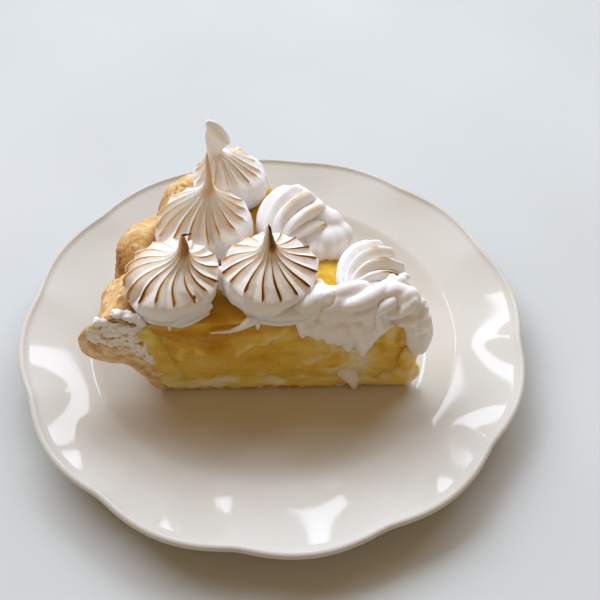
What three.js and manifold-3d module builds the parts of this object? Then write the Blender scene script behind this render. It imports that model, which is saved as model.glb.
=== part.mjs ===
// A slice of lemon meringue pie on its plate: porcelain plate, pastry shell, lemon filling, six piped
// meringue kisses and the meringue that the knife dragged over the point of the slice.
// Millimetres and degrees, +Z up. The origin is the middle of the plate's foot, on the table.
// The slice points at the middle of the whole pie, PIE_CENTRE, and a bearing is an angle round that point,
// from +X, anticlockwise as seen from above.

import * as THREE from 'three';
import { mergeVertices } from 'three/addons/utils/BufferGeometryUtils.js';
import Module from 'manifold-3d';

const GAP = 0.3; // air left between pieces that touch
const SLIVER = 0.04; // the smallest step left where one piece is cut to fit another
const CUTTER = 250; // side of the blocks that trim a piece

// Plate
const PLATE_RADIUS = 103.4; // to the outside of the lip, at the middle of a lobe
const WELL_RADIUS = 58;
const WELL_TOP = 5;
const WELL_THICKNESS = 3.4;
const RIM_START = 77;
const RIM_START_HEIGHT = 10;
const LIP_HEIGHT = 17;
const LIP_THICKNESS = 3;
const FOOT_INNER = 51.5;
const FOOT_OUTER = 55.5;
const LOBES = 12;
const LOBE_DEPTH = 2.6; // how far the edge draws in at a notch
const LOBE_LIFT = 0.7; // how far the lip rises at a notch
const NOTCH_BEARING = -5;
const NOTCH_SOFTNESS = 0.16;
const STEPS_PER_LOBE = 5;

// Slice
const PIE_CENTRE = new THREE.Vector2(56, -24.6);
const FRONT_CUT = 183.2; // bearing of the cut side that faces -Y
const BACK_CUT = 130;
const POINT_RADIUS = 3; // the point of the slice is blunt
const CRUST_BASE = WELL_TOP + GAP;
const FILLING_TOP = 46.5;

// Crust: its outer and its inner line as [distance from PIE_CENTRE, height], from the point to the crest
const CRUST_OUTSIDE = [
  [POINT_RADIUS, CRUST_BASE], [60, CRUST_BASE], [90, CRUST_BASE], [98, CRUST_BASE], [102.8, 8], [105, 13],
  [108, 18.5], [111.5, 23.3], [117, 24.6], [121.6, 27], [124.4, 31.5], [124.2, 37], [121.6, 41.5],
  [117.6, 45.6], [114, 48.8],
];
const CRUST_INSIDE = [
  [POINT_RADIUS, 9.5], [60, 9.5], [88, 9.5], [93, 9.6], [95.4, 13], [96.6, 18], [98, 23.5], [99.6, 28.5],
  [101, 32.5], [102.2, 36], [103.4, 39.5], [104.6, 42.5], [105.8, 45.2], [107.5, 47.6], [110.5, 49.6],
];
const CRIMP_PITCH = 16; // degrees from one pinched knob of the rim to the next
const CRIMP_CREST = 161; // bearing of one knob
const CRIMP_DEPTH = 6; // how far a pinch draws the rim in
const CRIMP_DIP = 3.4; // how far a pinch lowers the rim's top
const CRIMP_FROM = 20; // height at which the crimps begin
const CRIMP_FULL = 32; // and at which they are at their deepest
const KNOB_ROUNDNESS = 0.6; // lower makes fatter knobs and narrower pinches
const FLAKE_RELIEF = 0.55; // of the pastry's layers, which run in waves along the wall and up it
const FLAKE_WAVES = 5;
const KNOB_LIFT = 4.6; // how much higher a whole knob stands than the rim at the cut
const KNOB_BULGE = 2.6; // and how much farther out its top goes
const KNOB_FULL = 44; // height at which a knob is at its fullest
const CREST_FROM = 46; // height at which the inside turns over to the crest
const CREST_HEIGHT = CRUST_INSIDE[CRUST_INSIDE.length - 1][1];
const PRESSED_BEARING = 177; // where the rim beside the front cut is pressed in
const PRESSED_WIDTH = 6;
const PRESSED_DEPTH = 3;
const PRESSED_SHARE = 0.6; // of the knob's lift that the pressing takes
const FLARE_WIDTH = 1.6; // degrees behind the front cut over which the knife spread the rim
const FLARE_REACH = 6;

const CRUST_STEPS = 24; // round the pie

// Filling
const FILLING_STEPS = [14, 6, 8]; // outward, up and round the pie
const DENT_DEPTH = 1.8; // how far the cut side is torn in

// Kisses: place and radius of the fattest ring, height of the tip over the filling, how far the neck and the
// tip stand off the middle, and the bearing of one ridge. A pushed kiss is a dome laid over by tilt degrees
// towards a bearing, its ridges twisted, and the back cut goes through it. Its tail is what the knife drew out
// along that cut: how far it lies from the middle of the pie, and its three half-widths along, across and up.
const FLUTES = 16;
const KISS_FOOT = FILLING_TOP + GAP;
const KISSES = [
  { name: 'meringue_kiss_front_left', x: -36.6, y: -16.2, radius: 17.4, height: 33.6, lean: [6.2, 0],
    first: 11 },
  { name: 'meringue_kiss_front_middle', x: -0.8, y: -12.2, radius: 17.8, height: 34, lean: [-0.2, 0],
    first: -8.7 },
  { name: 'meringue_kiss_back_left', x: -27.4, y: 15.5, radius: 18.9, height: 45, lean: [3.6, -3.5],
    first: 10, body: 'tall' },
  { name: 'meringue_kiss_rear', x: -20, y: 41.5, radius: 16.2, height: 37, lean: [-5, 0], first: 4,
    body: 'rear' },
  { name: 'meringue_kiss_back_middle', x: 7, y: 20.5, radius: 16.2, height: 23.4, lean: [0, 0], first: 6,
    tilt: 76, toward: 232, back: 8.2, lift: 2.7, twist: 45, tail: [54, 9, 6, 7.4] },
  { name: 'meringue_kiss_point', x: 37.7, y: -7.5, radius: 14.8, height: 22.5, lean: [0, 0], first: 0,
    tilt: 74, toward: 236, back: 7.6, lift: 3, twist: 110 },
];
// Outlines as [height, radius]. The bodies' are shares of the kiss's radius, a spire's height is a share of
// the way from the neck to the tip, and the dome's height is a share of the kiss's height.
const BODY_OUTLINE = [
  [0, 0.78], [0.12, 0.87], [0.27, 0.94], [0.42, 0.975], [0.6, 1], [0.72, 0.99], [0.8, 0.94], [0.87, 0.85],
  [0.93, 0.72], [1, 0.55], [1.07, 0.39], [1.14, 0.28], [1.24, 0.2], [1.37, 0.135],
];
const TALL_BODY_OUTLINE = [
  [0, 0.86], [0.12, 0.96], [0.28, 1], [0.44, 1], [0.55, 0.96], [0.66, 0.87], [0.78, 0.75], [0.9, 0.62],
  [1.02, 0.49], [1.14, 0.37], [1.26, 0.26], [1.37, 0.17], [1.46, 0.125],
];
const REAR_BODY_OUTLINE = [
  [0, 0.84], [0.1, 0.93], [0.23, 0.985], [0.4, 0.99], [0.52, 0.965], [0.63, 0.915], [0.75, 0.82],
  [0.88, 0.7], [1, 0.57], [1.12, 0.44], [1.24, 0.32], [1.34, 0.23],
];
const SPIRE_OUTLINE = [[0.3, 0.105], [0.6, 0.066], [0.85, 0.036], [1, 0.02]];
const TALL_SPIRE_OUTLINE = [[0.25, 0.075], [0.6, 0.056], [0.88, 0.032], [1, 0.015]];
const DOME_OUTLINE = [
  [0, 0.72], [0.08, 0.88], [0.2, 0.98], [0.34, 1], [0.48, 0.96], [0.6, 0.88], [0.71, 0.77], [0.81, 0.63],
  [0.9, 0.46], [0.96, 0.28], [1, 0.06],
];
// The rear kiss ends in a bent flake: height above its foot, middle, half-width and half-depth
const FLAKE = [
  [23.5, -25.1, 2.9, 2.6], [25, -24.2, 3.7, 2.4], [27.2, -22.9, 5, 2.3], [29.5, -23.6, 4.4, 2.1],
  [32, -24.3, 3.6, 1.9], [34.3, -25, 3, 1.6], [36.2, -25.9, 2, 1.1], [37, -26.3, 0.5, 0.4],
];
const FLUTE_DEPTH = 0.19; // share of the radius
const FLUTES_FROM = 0.67; // height, in radii, where the flutes start on a plain kiss
const FLUTES_FULL = 0.9;
const TALL_FLUTES_FROM = 0.5; // on a tall one
const TALL_FLUTES_FULL = 0.75;
const DOME_FLUTES_FROM = 0.14; // and on a pushed one
const DOME_FLUTES_FULL = 0.4;
const LEAN_FROM_TO = [0.25, 0.8]; // shares of a kiss's height over which it leans
const LEAST_REACH = 0.2; // of a ring squeezed between walls
const KNIFE_MARGIN = 3.2; // how far a cut kiss stands out past the cut of the filling

// Dragged meringue: stations along the cut edge, from beside the front middle kiss to the point and a little
// way up the back cut: how high it stands, how far down it hangs, how far in it lies and how thick it is
const DRAG_STATIONS = [
  { at: -46, crest: 52, hang: 42.5, inward: 4, thick: 1.6 },
  { at: -41, crest: 56, hang: 40.5, inward: 9, thick: 2.6 },
  { at: -34, crest: 57.5, hang: 38, inward: 12, thick: 3.4 },
  { at: -27, crest: 57, hang: 35.5, inward: 11, thick: 3.4 },
  { at: -20, crest: 59, hang: 31, inward: 9, thick: 3.4 },
  { at: -15.5, crest: 61, hang: 41, inward: 8, thick: 3 },
  { at: -12, crest: 63, hang: 46, inward: 8, thick: 3 },
  { at: -8, crest: 63, hang: 45.5, inward: 7, thick: 3 },
  { at: -4, crest: 58.5, hang: 34, inward: 5, thick: 4.2 },
  { at: 0, crest: 56, hang: 27, inward: 3, thick: 6 },
  { at: 6, crest: 54, hang: 28, inward: 3, thick: 6 },
  { at: 13, crest: 53, hang: 33, inward: 4, thick: 4.5 },
  { at: 20, crest: 51, hang: 40, inward: 4, thick: 2 },
];
const DRAG_STEPS = 42; // along the cut edge
const DRAG_STOPS = 9; // across it, from the top of the filling over the edge and down the cut side
const POINT_SHARE = 0.45; // keeps the two sides of the drape from crossing near the point

const COLOURS = {
  porcelain: 0xe9e6df,
  pastry: 0xd9a866,
  lemon: 0xeecb55,
  meringue: 0xf4efe8,
};

const wasm = await Module();
wasm.setup();
const radians = THREE.MathUtils.degToRad;
const mix = THREE.MathUtils.lerp;
const smooth = THREE.MathUtils.smoothstep;

function material(name, color, roughness) {
  return new THREE.MeshStandardMaterial({ name, color, roughness, metalness: 0 });
}

// Welds a geometry's corners and turns its faces outward.
function closed(geometry) {
  geometry.deleteAttribute('normal');
  geometry.deleteAttribute('uv');
  const welded = mergeVertices(geometry, 1e-4);
  const place = welded.attributes.position;
  const corners = [...welded.index.array];
  const [a, b, c] = [new THREE.Vector3(), new THREE.Vector3(), new THREE.Vector3()];
  const kept = [];
  let volume = 0;
  for (let i = 0; i < corners.length; i += 3) {
    const [p, q, r] = corners.slice(i, i + 3);
    if (p === q || q === r || r === p) continue;
    kept.push([p, q, r]);
    a.fromBufferAttribute(place, p);
    b.fromBufferAttribute(place, q);
    c.fromBufferAttribute(place, r);
    volume += a.dot(b.cross(c));
  }
  welded.setIndex(kept.flatMap(([p, q, r]) => (volume > 0 ? [p, q, r] : [p, r, q])));
  welded.computeVertexNormals();
  return welded;
}

// A body with six sides, however bent: point(s, t, u) places the corner at shares s, t and u of its three
// lengths, which are cut into ns, nt and nu steps.
function block(point, ns, nt, nu) {
  const corners = [];
  const side = (place, na, nb) => {
    for (let i = 0; i < na; i += 1) {
      for (let j = 0; j < nb; j += 1) {
        const [p, q] = [place(i / na, j / nb), place((i + 1) / na, j / nb)];
        const [r, s] = [place((i + 1) / na, (j + 1) / nb), place(i / na, (j + 1) / nb)];
        corners.push(p, q, r, p, r, s);
      }
    }
  };
  side((a, b) => point(a, b, 1), ns, nt);
  side((b, a) => point(a, b, 0), nt, ns);
  side((a, b) => point(1, a, b), nt, nu);
  side((b, a) => point(0, a, b), nu, nt);
  side((b, a) => point(a, 1, b), nu, ns);
  side((a, b) => point(a, 0, b), ns, nu);
  return closed(new THREE.BufferGeometry().setFromPoints(corners));
}

function solid(geometry) {
  const vertProperties = new Float32Array(geometry.attributes.position.array);
  const triVerts = new Uint32Array(geometry.index.array);
  return new wasm.Manifold(new wasm.Mesh({ numProp: 3, vertProperties, triVerts }));
}

function geometryOf(manifold) {
  const { vertProperties, triVerts } = manifold.getMesh();
  const geometry = new THREE.BufferGeometry();
  geometry.setAttribute('position', new THREE.BufferAttribute(vertProperties, 3));
  geometry.setIndex([...triVerts]);
  geometry.computeVertexNormals();
  return geometry;
}

// The place at a distance and height along a bearing from the middle of the pie.
function pieAt(bearing, distance, height) {
  const turn = radians(bearing);
  const x = PIE_CENTRE.x + distance * Math.cos(turn);
  const y = PIE_CENTRE.y + distance * Math.sin(turn);
  return new THREE.Vector3(x, y, height);
}

// Reads a list of [key, value] stops at key, straight between stops.
function along(stops, key) {
  const next = stops.findIndex(([stop]) => stop >= key);
  if (next === 0) return stops[0][1];
  if (next < 0) return stops[stops.length - 1][1];
  const [[k0, v0], [k1, v1]] = [stops[next - 1], stops[next]];
  return mix(v0, v1, (key - k0) / (k1 - k0));
}

// Plate: a turned profile whose rim swings in and out to make the lobes.
function plateProfile() {
  const lip = LIP_THICKNESS / 2;
  const [lipX, lipY] = [PLATE_RADIUS - lip, LIP_HEIGHT - lip];
  const under = WELL_TOP - WELL_THICKNESS;
  const line = new THREE.Path();
  line.moveTo(0, WELL_TOP);
  line.lineTo(WELL_RADIUS, WELL_TOP);
  const sweep = 8; // length over which the well turns up into the rim
  const low = RIM_START_HEIGHT - 2;
  line.bezierCurveTo(WELL_RADIUS + sweep, WELL_TOP, RIM_START - sweep, low, RIM_START, RIM_START_HEIGHT);
  line.quadraticCurveTo(RIM_START + 12, RIM_START_HEIGHT + 3, lipX - lip, lipY + 0.5);
  line.absarc(lipX, lipY, lip, Math.PI * 0.78, -Math.PI * 0.55, true);
  line.quadraticCurveTo(RIM_START + 10, RIM_START_HEIGHT - 1.4, RIM_START - 4, RIM_START_HEIGHT / 2);
  line.quadraticCurveTo(RIM_START - 12, under + 0.2, FOOT_OUTER + 2, under);
  line.lineTo(FOOT_OUTER, 0);
  line.lineTo(FOOT_INNER, 0);
  line.lineTo(FOOT_INNER - 1, under);
  line.lineTo(0, under);
  return line.getPoints(3);
}

function plate() {
  const geometry = new THREE.LatheGeometry(plateProfile(), LOBES * STEPS_PER_LOBE);
  geometry.rotateX(Math.PI / 2);
  const place = geometry.attributes.position;
  const spot = new THREE.Vector3();
  for (let i = 0; i < place.count; i += 1) {
    spot.fromBufferAttribute(place, i);
    const swing = Math.sin(LOBES / 2 * (Math.atan2(spot.y, spot.x) - radians(NOTCH_BEARING)));
    const fullness = Math.sqrt((swing ** 2 + NOTCH_SOFTNESS ** 2) / (1 + NOTCH_SOFTNESS ** 2));
    const radius = Math.hypot(spot.x, spot.y);
    const share = smooth(radius, RIM_START, PLATE_RADIUS) * (1 - fullness);
    const drawn = 1 - share * LOBE_DEPTH / PLATE_RADIUS;
    place.setXYZ(i, spot.x * drawn, spot.y * drawn, spot.z + share * LOBE_LIFT);
  }
  return closed(geometry);
}

// Crust: a band from the point of the slice along its base and up to the rim, bent round the pie. The rim
// is pinched into knobs and its outside is flaky.
function crustPoint(s, t, u) {
  const step = Math.round(s * (CRUST_OUTSIDE.length - 1));
  const bearing = mix(FRONT_CUT, BACK_CUT, u);
  const [outR, outZ] = CRUST_OUTSIDE[step];
  const [inR, inZ] = CRUST_INSIDE[step];
  const knob = Math.abs(Math.cos(Math.PI * (bearing - CRIMP_CREST) / CRIMP_PITCH)) ** KNOB_ROUNDNESS;
  const rim = smooth(outZ, CRIMP_FROM, CRIMP_FULL);
  const wall = smooth(outZ, WELL_TOP + 2, CRIMP_FROM);
  const wave = 2 * Math.PI * FLAKE_WAVES * u;
  const flake = FLAKE_RELIEF * wall * Math.cos(wave + step) * Math.sin(wave / 3 + 2.4 * step);
  const pressed = Math.exp(-(((bearing - PRESSED_BEARING) / PRESSED_WIDTH) ** 2));
  const flare = FLARE_REACH * Math.exp(-(((bearing - FRONT_CUT) / FLARE_WIDTH) ** 2)) * rim;
  const whole = knob * (1 - PRESSED_SHARE * pressed);
  const distance = outR - ((1 - knob) * CRIMP_DEPTH + pressed * PRESSED_DEPTH) * rim + flare + flake
    + KNOB_BULGE * whole * smooth(outZ, CRIMP_FULL, KNOB_FULL);
  const swell = KNOB_LIFT * whole - CRIMP_DIP * (1 - knob);
  const height = outZ + swell * smooth(outZ, CRIMP_FULL, KNOB_FULL);
  const crestSwell = swell * smooth(inZ, CREST_FROM, CREST_HEIGHT);
  return pieAt(bearing, mix(distance, inR, t), mix(height, inZ + crestSwell, t));
}

// Filling: fills the crust up to FILLING_TOP between the two cuts, whose sides are torn in a little.
function wallAt(height) {
  return along(CRUST_INSIDE.slice(2, -2).map(([distance, z]) => [z, distance]), height) - GAP;
}

// The crust's inner wall where a whole knob stands over it.
function rimAt(height) {
  const wall = CRUST_INSIDE.slice(2).map(([distance, z]) => {
    return [z + KNOB_LIFT * smooth(z, CREST_FROM, CREST_HEIGHT), distance];
  });
  return along(wall, height) - GAP;
}

function fillingPoint(s, t, u) {
  const height = mix(CRUST_INSIDE[0][1] + GAP, FILLING_TOP, t);
  const distance = mix(POINT_RADIUS, wallAt(height), s);
  const bearing = mix(FRONT_CUT, BACK_CUT, u);
  const spot = pieAt(bearing, distance, height);
  const awayFromEdges = 16 * s * (1 - s) * t * (1 - t);
  const ripple = Math.sin(9 * s + 5 * t) * Math.cos(7 * t - 4 * s);
  const tear = DENT_DEPTH * awayFromEdges * (1 + ripple) / 2;
  const inward = radians(bearing + (u < 0.5 ? -90 : 90));
  const pull = u === 0 || u === 1 ? tear : 0;
  spot.x += pull * Math.cos(inward);
  spot.y += pull * Math.sin(inward);
  return spot;
}

// Kiss: rings round an axis, fluted by the star nozzle, drawn in to a tip. Each ring stops short of the
// filling, of the crust's rim and of the neighbouring kisses, as soft meringue pressed against them does.
function kissAxis(shape) {
  const tilt = radians(shape.tilt ?? 0);
  const toward = radians(shape.toward ?? 0);
  const level = new THREE.Vector3(Math.cos(toward), Math.sin(toward), 0);
  const up = level.clone().multiplyScalar(Math.sin(tilt)).setZ(Math.cos(tilt));
  const across = level.clone().multiplyScalar(Math.cos(tilt)).setZ(-Math.sin(tilt));
  return { up, across, aside: new THREE.Vector3().crossVectors(up, across) };
}

// The rings of a kiss as [height, radius] in millimetres.
function kissOutline(shape) {
  const { radius, height } = shape;
  if (shape.tilt) return DOME_OUTLINE.map(([rise, share]) => [rise * height, share * radius]);
  const outlines = { tall: TALL_BODY_OUTLINE, rear: REAR_BODY_OUTLINE };
  const body = (outlines[shape.body] ?? BODY_OUTLINE).map(([rise, share]) => [rise * radius, share * radius]);
  if (shape.body === 'rear') return body;
  const neck = body[body.length - 1][0];
  const spire = shape.body === 'tall' ? TALL_SPIRE_OUTLINE : SPIRE_OUTLINE;
  return [...body, ...spire.map(([rise, share]) => [mix(neck, height, rise), share * radius])];
}

// How deep a kiss's flutes are at a height, as a share of its radius.
function fluteDepth(shape, height) {
  const level = height / shape.radius;
  if (shape.tilt) return FLUTE_DEPTH * smooth(level, DOME_FLUTES_FROM, DOME_FLUTES_FULL);
  if (shape.body === 'tall') return FLUTE_DEPTH * smooth(level, TALL_FLUTES_FROM, TALL_FLUTES_FULL);
  return FLUTE_DEPTH * smooth(level, FLUTES_FROM, FLUTES_FULL);
}

// The planes between a kiss and its neighbours: each has a normal pointing out of the kiss and its reach.
function neighbourWalls(shape) {
  const walls = [];
  for (const other of KISSES) {
    const between = new THREE.Vector3(other.x - shape.x, other.y - shape.y, 0);
    const apart = between.length();
    if (apart === 0 || apart > shape.radius + other.radius + GAP) continue;
    between.normalize();
    const middle = new THREE.Vector3(shape.x, shape.y, 0).dot(between);
    const own = apart * shape.radius / (shape.radius + other.radius) - GAP / 2;
    walls.push({ normal: between, reach: middle + own });
  }
  return walls;
}

// How far a ring can reach from its centre before it meets the crust's rim.
function rimRoom(centre, direction) {
  if (centre.z > CREST_HEIGHT + KNOB_LIFT + GAP) return Infinity;
  const out = new THREE.Vector2(centre.x, centre.y).sub(PIE_CENTRE);
  const ahead = out.x * direction.x + out.y * direction.y;
  return Math.sqrt(ahead ** 2 + rimAt(centre.z) ** 2 - out.lengthSq()) - ahead;
}

function kissRings(shape, grown) {
  const { up, across, aside } = kissAxis(shape);
  const walls = neighbourWalls(shape);
  const around = FLUTES * 2;
  const rings = kissOutline(shape).map(([height, radius]) => {
    const centre = new THREE.Vector3(shape.x, shape.y, KISS_FOOT + (shape.lift ?? 0));
    centre.addScaledVector(up, height - (shape.back ?? 0));
    const pulled = smooth(height / shape.height, ...LEAN_FROM_TO);
    centre.x += shape.lean[0] * pulled;
    centre.y += shape.lean[1] * pulled;
    const depth = fluteDepth(shape, height);
    const twisted = height > shape.radius / 2 ? (shape.twist ?? 0) * (1 - radius / shape.radius) : 0;
    const ring = [];
    for (let i = 0; i < around; i += 1) {
      const angle = 2 * Math.PI * i / around + radians(shape.first + twisted);
      const direction = across.clone().multiplyScalar(Math.cos(angle));
      direction.addScaledVector(aside, Math.sin(angle));
      let reach = radius * (1 - depth * (i % 2));
      if (!shape.tilt) reach = Math.min(reach, rimRoom(centre, direction));
      for (const wall of walls) {
        const toWall = wall.normal.dot(direction);
        const room = wall.reach - wall.normal.dot(centre);
        if (toWall > 0) reach = Math.min(reach, room / toWall);
      }
      ring.push(centre.clone().addScaledVector(direction, Math.max(reach, LEAST_REACH) + grown));
    }
    return { centre, ring };
  });
  if (shape.body !== 'rear') return rings;
  return [...rings, ...FLAKE.map(([height, middle, halfWide, halfDeep]) => {
    const centre = new THREE.Vector3(middle, shape.y, KISS_FOOT + height);
    const ring = [];
    for (let i = 0; i < around; i += 1) {
      const angle = 2 * Math.PI * i / around + radians(shape.first);
      const reach = [(halfWide + grown) * Math.cos(angle), (halfDeep + grown) * Math.sin(angle), 0];
      ring.push(centre.clone().add(new THREE.Vector3(...reach)));
    }
    return { centre, ring };
  })];
}

function kissSkin(shape, grown) {
  const rings = kissRings(shape, grown);
  const [first, last] = [rings[0], rings[rings.length - 1]];
  const corners = [];
  for (let i = 0; i < FLUTES * 2; i += 1) {
    const next = (i + 1) % (FLUTES * 2);
    corners.push(first.centre, first.ring[next], first.ring[i]);
    corners.push(last.centre, last.ring[i], last.ring[next]);
    for (let j = 1; j < rings.length; j += 1) {
      const [low, high] = [rings[j - 1].ring, rings[j].ring];
      corners.push(low[i], low[next], high[next], low[i], high[next], high[i]);
    }
  }
  return closed(new THREE.BufferGeometry().setFromPoints(corners));
}

function tail([distance, along, across, up], grown) {
  const lump = new THREE.SphereGeometry(1, 14, 8);
  lump.scale(along + grown, across + grown, up + grown);
  lump.rotateZ(radians(BACK_CUT));
  const spot = pieAt(BACK_CUT, distance, KISS_FOOT);
  lump.translate(spot.x, spot.y, spot.z);
  return closed(lump);
}

// A kiss, grown by a margin. The filling and the back cut trim a pushed one.
function kiss(shape, grown = 0) {
  const skin = kissSkin(shape, grown);
  if (!shape.tilt) return skin;
  const whole = shape.tail ? solid(skin).add(solid(tail(shape.tail, grown))) : solid(skin);
  const under = new THREE.BoxGeometry(CUTTER, CUTTER, CUTTER);
  under.translate(shape.x, shape.y, KISS_FOOT - CUTTER / 2 - grown);
  const beyond = new THREE.BoxGeometry(CUTTER, CUTTER, CUTTER);
  beyond.translate(0, -CUTTER / 2 - KNIFE_MARGIN - grown, 0);
  beyond.rotateZ(radians(BACK_CUT));
  beyond.translate(PIE_CENTRE.x, PIE_CENTRE.y, KISS_FOOT);
  return geometryOf(whole.subtract(solid(closed(under))).subtract(solid(closed(beyond))).simplify(SLIVER));
}

// The dragged meringue: a band draped over the cut edge of the filling, round the point of the slice. It is
// measured outward from the cut side.
function cutEdge(travelled) {
  const sweep = 180 - (FRONT_CUT - BACK_CUT);
  const bend = smooth(travelled, -4, 4);
  const normal = radians(FRONT_CUT + 90 + sweep * bend);
  const bearing = travelled < 0 ? FRONT_CUT : BACK_CUT;
  const spot = pieAt(bearing, Math.max(Math.abs(travelled), POINT_RADIUS), 0);
  return { spot, outward: new THREE.Vector3(Math.cos(normal), Math.sin(normal), 0) };
}

function dragStation(travelled) {
  const after = DRAG_STATIONS.findIndex((station) => station.at >= travelled);
  const [from, to] = [DRAG_STATIONS[Math.max(after - 1, 0)], DRAG_STATIONS[after]];
  const share = smooth(travelled, from.at, to.at);
  const read = (key) => mix(from[key], to[key], share);
  const inward = Math.min(read('inward'), POINT_SHARE * Math.max(Math.abs(travelled), POINT_RADIUS));
  return { crest: read('crest'), hang: read('hang'), inward, thick: read('thick') };
}

function dragSection({ crest, hang, inward, thick }) {
  const top = FILLING_TOP + GAP;
  const inner = [
    [-inward, top], [-inward * 0.75, top], [-inward * 0.5, top], [-inward * 0.25, top], [GAP, top],
    [GAP, mix(top, hang, 0.25)], [GAP, mix(top, hang, 0.5)], [GAP, mix(top, hang, 0.75)], [GAP, hang],
  ];
  const outer = [
    [-inward - 0.6, top + 1], [-inward * 0.95, mix(top, crest, 0.7)], [-inward * 0.6, crest],
    [-inward * 0.2, crest - 0.4], [thick * 0.3, mix(crest, top, 0.4)], [thick * 0.62, top],
    [thick, mix(top, hang, 0.42)], [thick * 0.88, mix(top, hang, 0.8)], [GAP + 0.8, hang - 0.8],
  ];
  return { inner, outer };
}

function dragPoint(s, t, u) {
  const travelled = mix(DRAG_STATIONS[0].at, DRAG_STATIONS[DRAG_STATIONS.length - 1].at, u);
  const { spot, outward } = cutEdge(travelled);
  const { inner, outer } = dragSection(dragStation(travelled));
  const stop = Math.round(s * (DRAG_STOPS - 1));
  const away = mix(inner[stop][0], outer[stop][0], t);
  const height = mix(inner[stop][1], outer[stop][1], t);
  return spot.addScaledVector(outward, away).setZ(height);
}

function draggedMeringue() {
  const band = solid(block(dragPoint, DRAG_STOPS - 1, 1, DRAG_STEPS));
  const cut = KISSES.reduce((rest, shape) => rest.subtract(solid(kiss(shape, GAP))), band);
  return geometryOf(cut.simplify(SLIVER));
}

function piece(name, geometry, finish) {
  const mesh = new THREE.Mesh(geometry, finish);
  mesh.name = name;
  return mesh;
}

const porcelain = material('glazed porcelain', COLOURS.porcelain, 0.12);
const pastry = material('baked shortcrust', COLOURS.pastry, 0.8);
const lemon = material('set lemon custard', COLOURS.lemon, 0.3);
const meringue = material('soft meringue', COLOURS.meringue, 0.55);

const group = new THREE.Group();
group.add(piece('plate', plate(), porcelain));
group.add(piece('crust', block(crustPoint, CRUST_OUTSIDE.length - 1, 1, CRUST_STEPS), pastry));
group.add(piece('lemon_filling', block(fillingPoint, ...FILLING_STEPS), lemon));
for (const shape of KISSES) group.add(piece(shape.name, kiss(shape), meringue));
group.add(piece('meringue_smear', draggedMeringue(), meringue));

export default group;
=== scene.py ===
import itertools
import math

import bmesh
import bpy
import numpy as np
from mathutils import Matrix, Vector


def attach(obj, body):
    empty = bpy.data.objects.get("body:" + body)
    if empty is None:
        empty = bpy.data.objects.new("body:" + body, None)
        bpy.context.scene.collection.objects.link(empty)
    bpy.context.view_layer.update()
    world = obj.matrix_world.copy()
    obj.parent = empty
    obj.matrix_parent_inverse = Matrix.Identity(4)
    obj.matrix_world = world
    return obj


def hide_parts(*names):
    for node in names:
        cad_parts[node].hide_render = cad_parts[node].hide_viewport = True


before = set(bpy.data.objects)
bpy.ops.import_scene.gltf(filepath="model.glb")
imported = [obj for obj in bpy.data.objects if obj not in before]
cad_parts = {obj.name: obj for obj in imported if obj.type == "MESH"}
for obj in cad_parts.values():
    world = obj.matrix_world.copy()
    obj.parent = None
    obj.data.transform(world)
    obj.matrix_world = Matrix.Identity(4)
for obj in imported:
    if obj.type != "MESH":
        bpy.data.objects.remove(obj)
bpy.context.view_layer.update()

# --------------------
# Plate: a round porcelain dessert plate with a lobed edge and a rolled lip, slip cast, glazed and fired on
# its foot ring. Sizes of pieces are in millimetres and degrees; nodes, lamps and the camera are in metres.
MM = 0.001
PLATE_RADIUS = 103.4
WELL_RADIUS = 58
WELL_TOP = 5
WELL_UNDER = 1.6
RIM_START = 77
CREASE = (74.5, 10.1)  # where the well's curve turns over into the flatter rim
PAST_CREASE = (CREASE[0] + 1, CREASE[1] + 0.34)
LIP_CENTRE = (101.9, 15.5)
LIP_ROUND = 1.5
UNDER_RIM = (73, 5)  # where the underside of the rim meets that of the well
FOOT_OUTSIDE = [(57.5, WELL_UNDER), (56.4, 0.9), (55.9, 0)]
FOOT_TREAD = [(55.4, 0), (52, 0)]  # what stands on the table
FOOT_INSIDE = [(51.4, 0), (50.9, 0.9), (50.4, WELL_UNDER)]
AXIS = 0.01  # how near the plate's outline comes to its axis
LOBES = 12
LOBE_DEPTH = 2.6
LOBE_LIFT = 0.7
NOTCH_BEARING = -5
NOTCH_SOFTNESS = 0.16
PLATE_COLUMNS = 312


def ease(value, low, high):
    """0 at low, 1 at high and past it, and a smooth rise between. low may be the greater one."""
    share = np.clip((np.asarray(value, float) - low) / (high - low), 0, 1)
    return share * share * (3 - 2 * share)


def mix(a, b, share):
    return a + (b - a) * share


def bell(apart, width, power=2):
    """1 at a place, fading out over about width."""
    return np.exp(-(apart / width) ** power)


def bend(handles, count):
    """A Bezier curve through any number of handles, at count points, its last one left out."""
    line = np.linspace(0, 1, count, endpoint=False)[:, None]
    rows = [np.repeat(np.array([handle], float), count, 0) for handle in handles]
    while len(rows) > 1:
        rows = [mix(a, b, line) for a, b in zip(rows, rows[1:])]
    return rows[0]


def weave(rows, columns, wrap):
    """The corner numbers of the faces of a net; wrap joins its last column to its first."""
    row = np.arange(rows - 1)[:, None] * columns
    column = np.arange(columns if wrap else columns - 1)[None, :]
    beside = (column + 1) % columns
    faces = [row + column, row + beside, row + columns + beside, row + columns + column]
    return np.stack(faces, -1).reshape(-1, 4)


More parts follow.
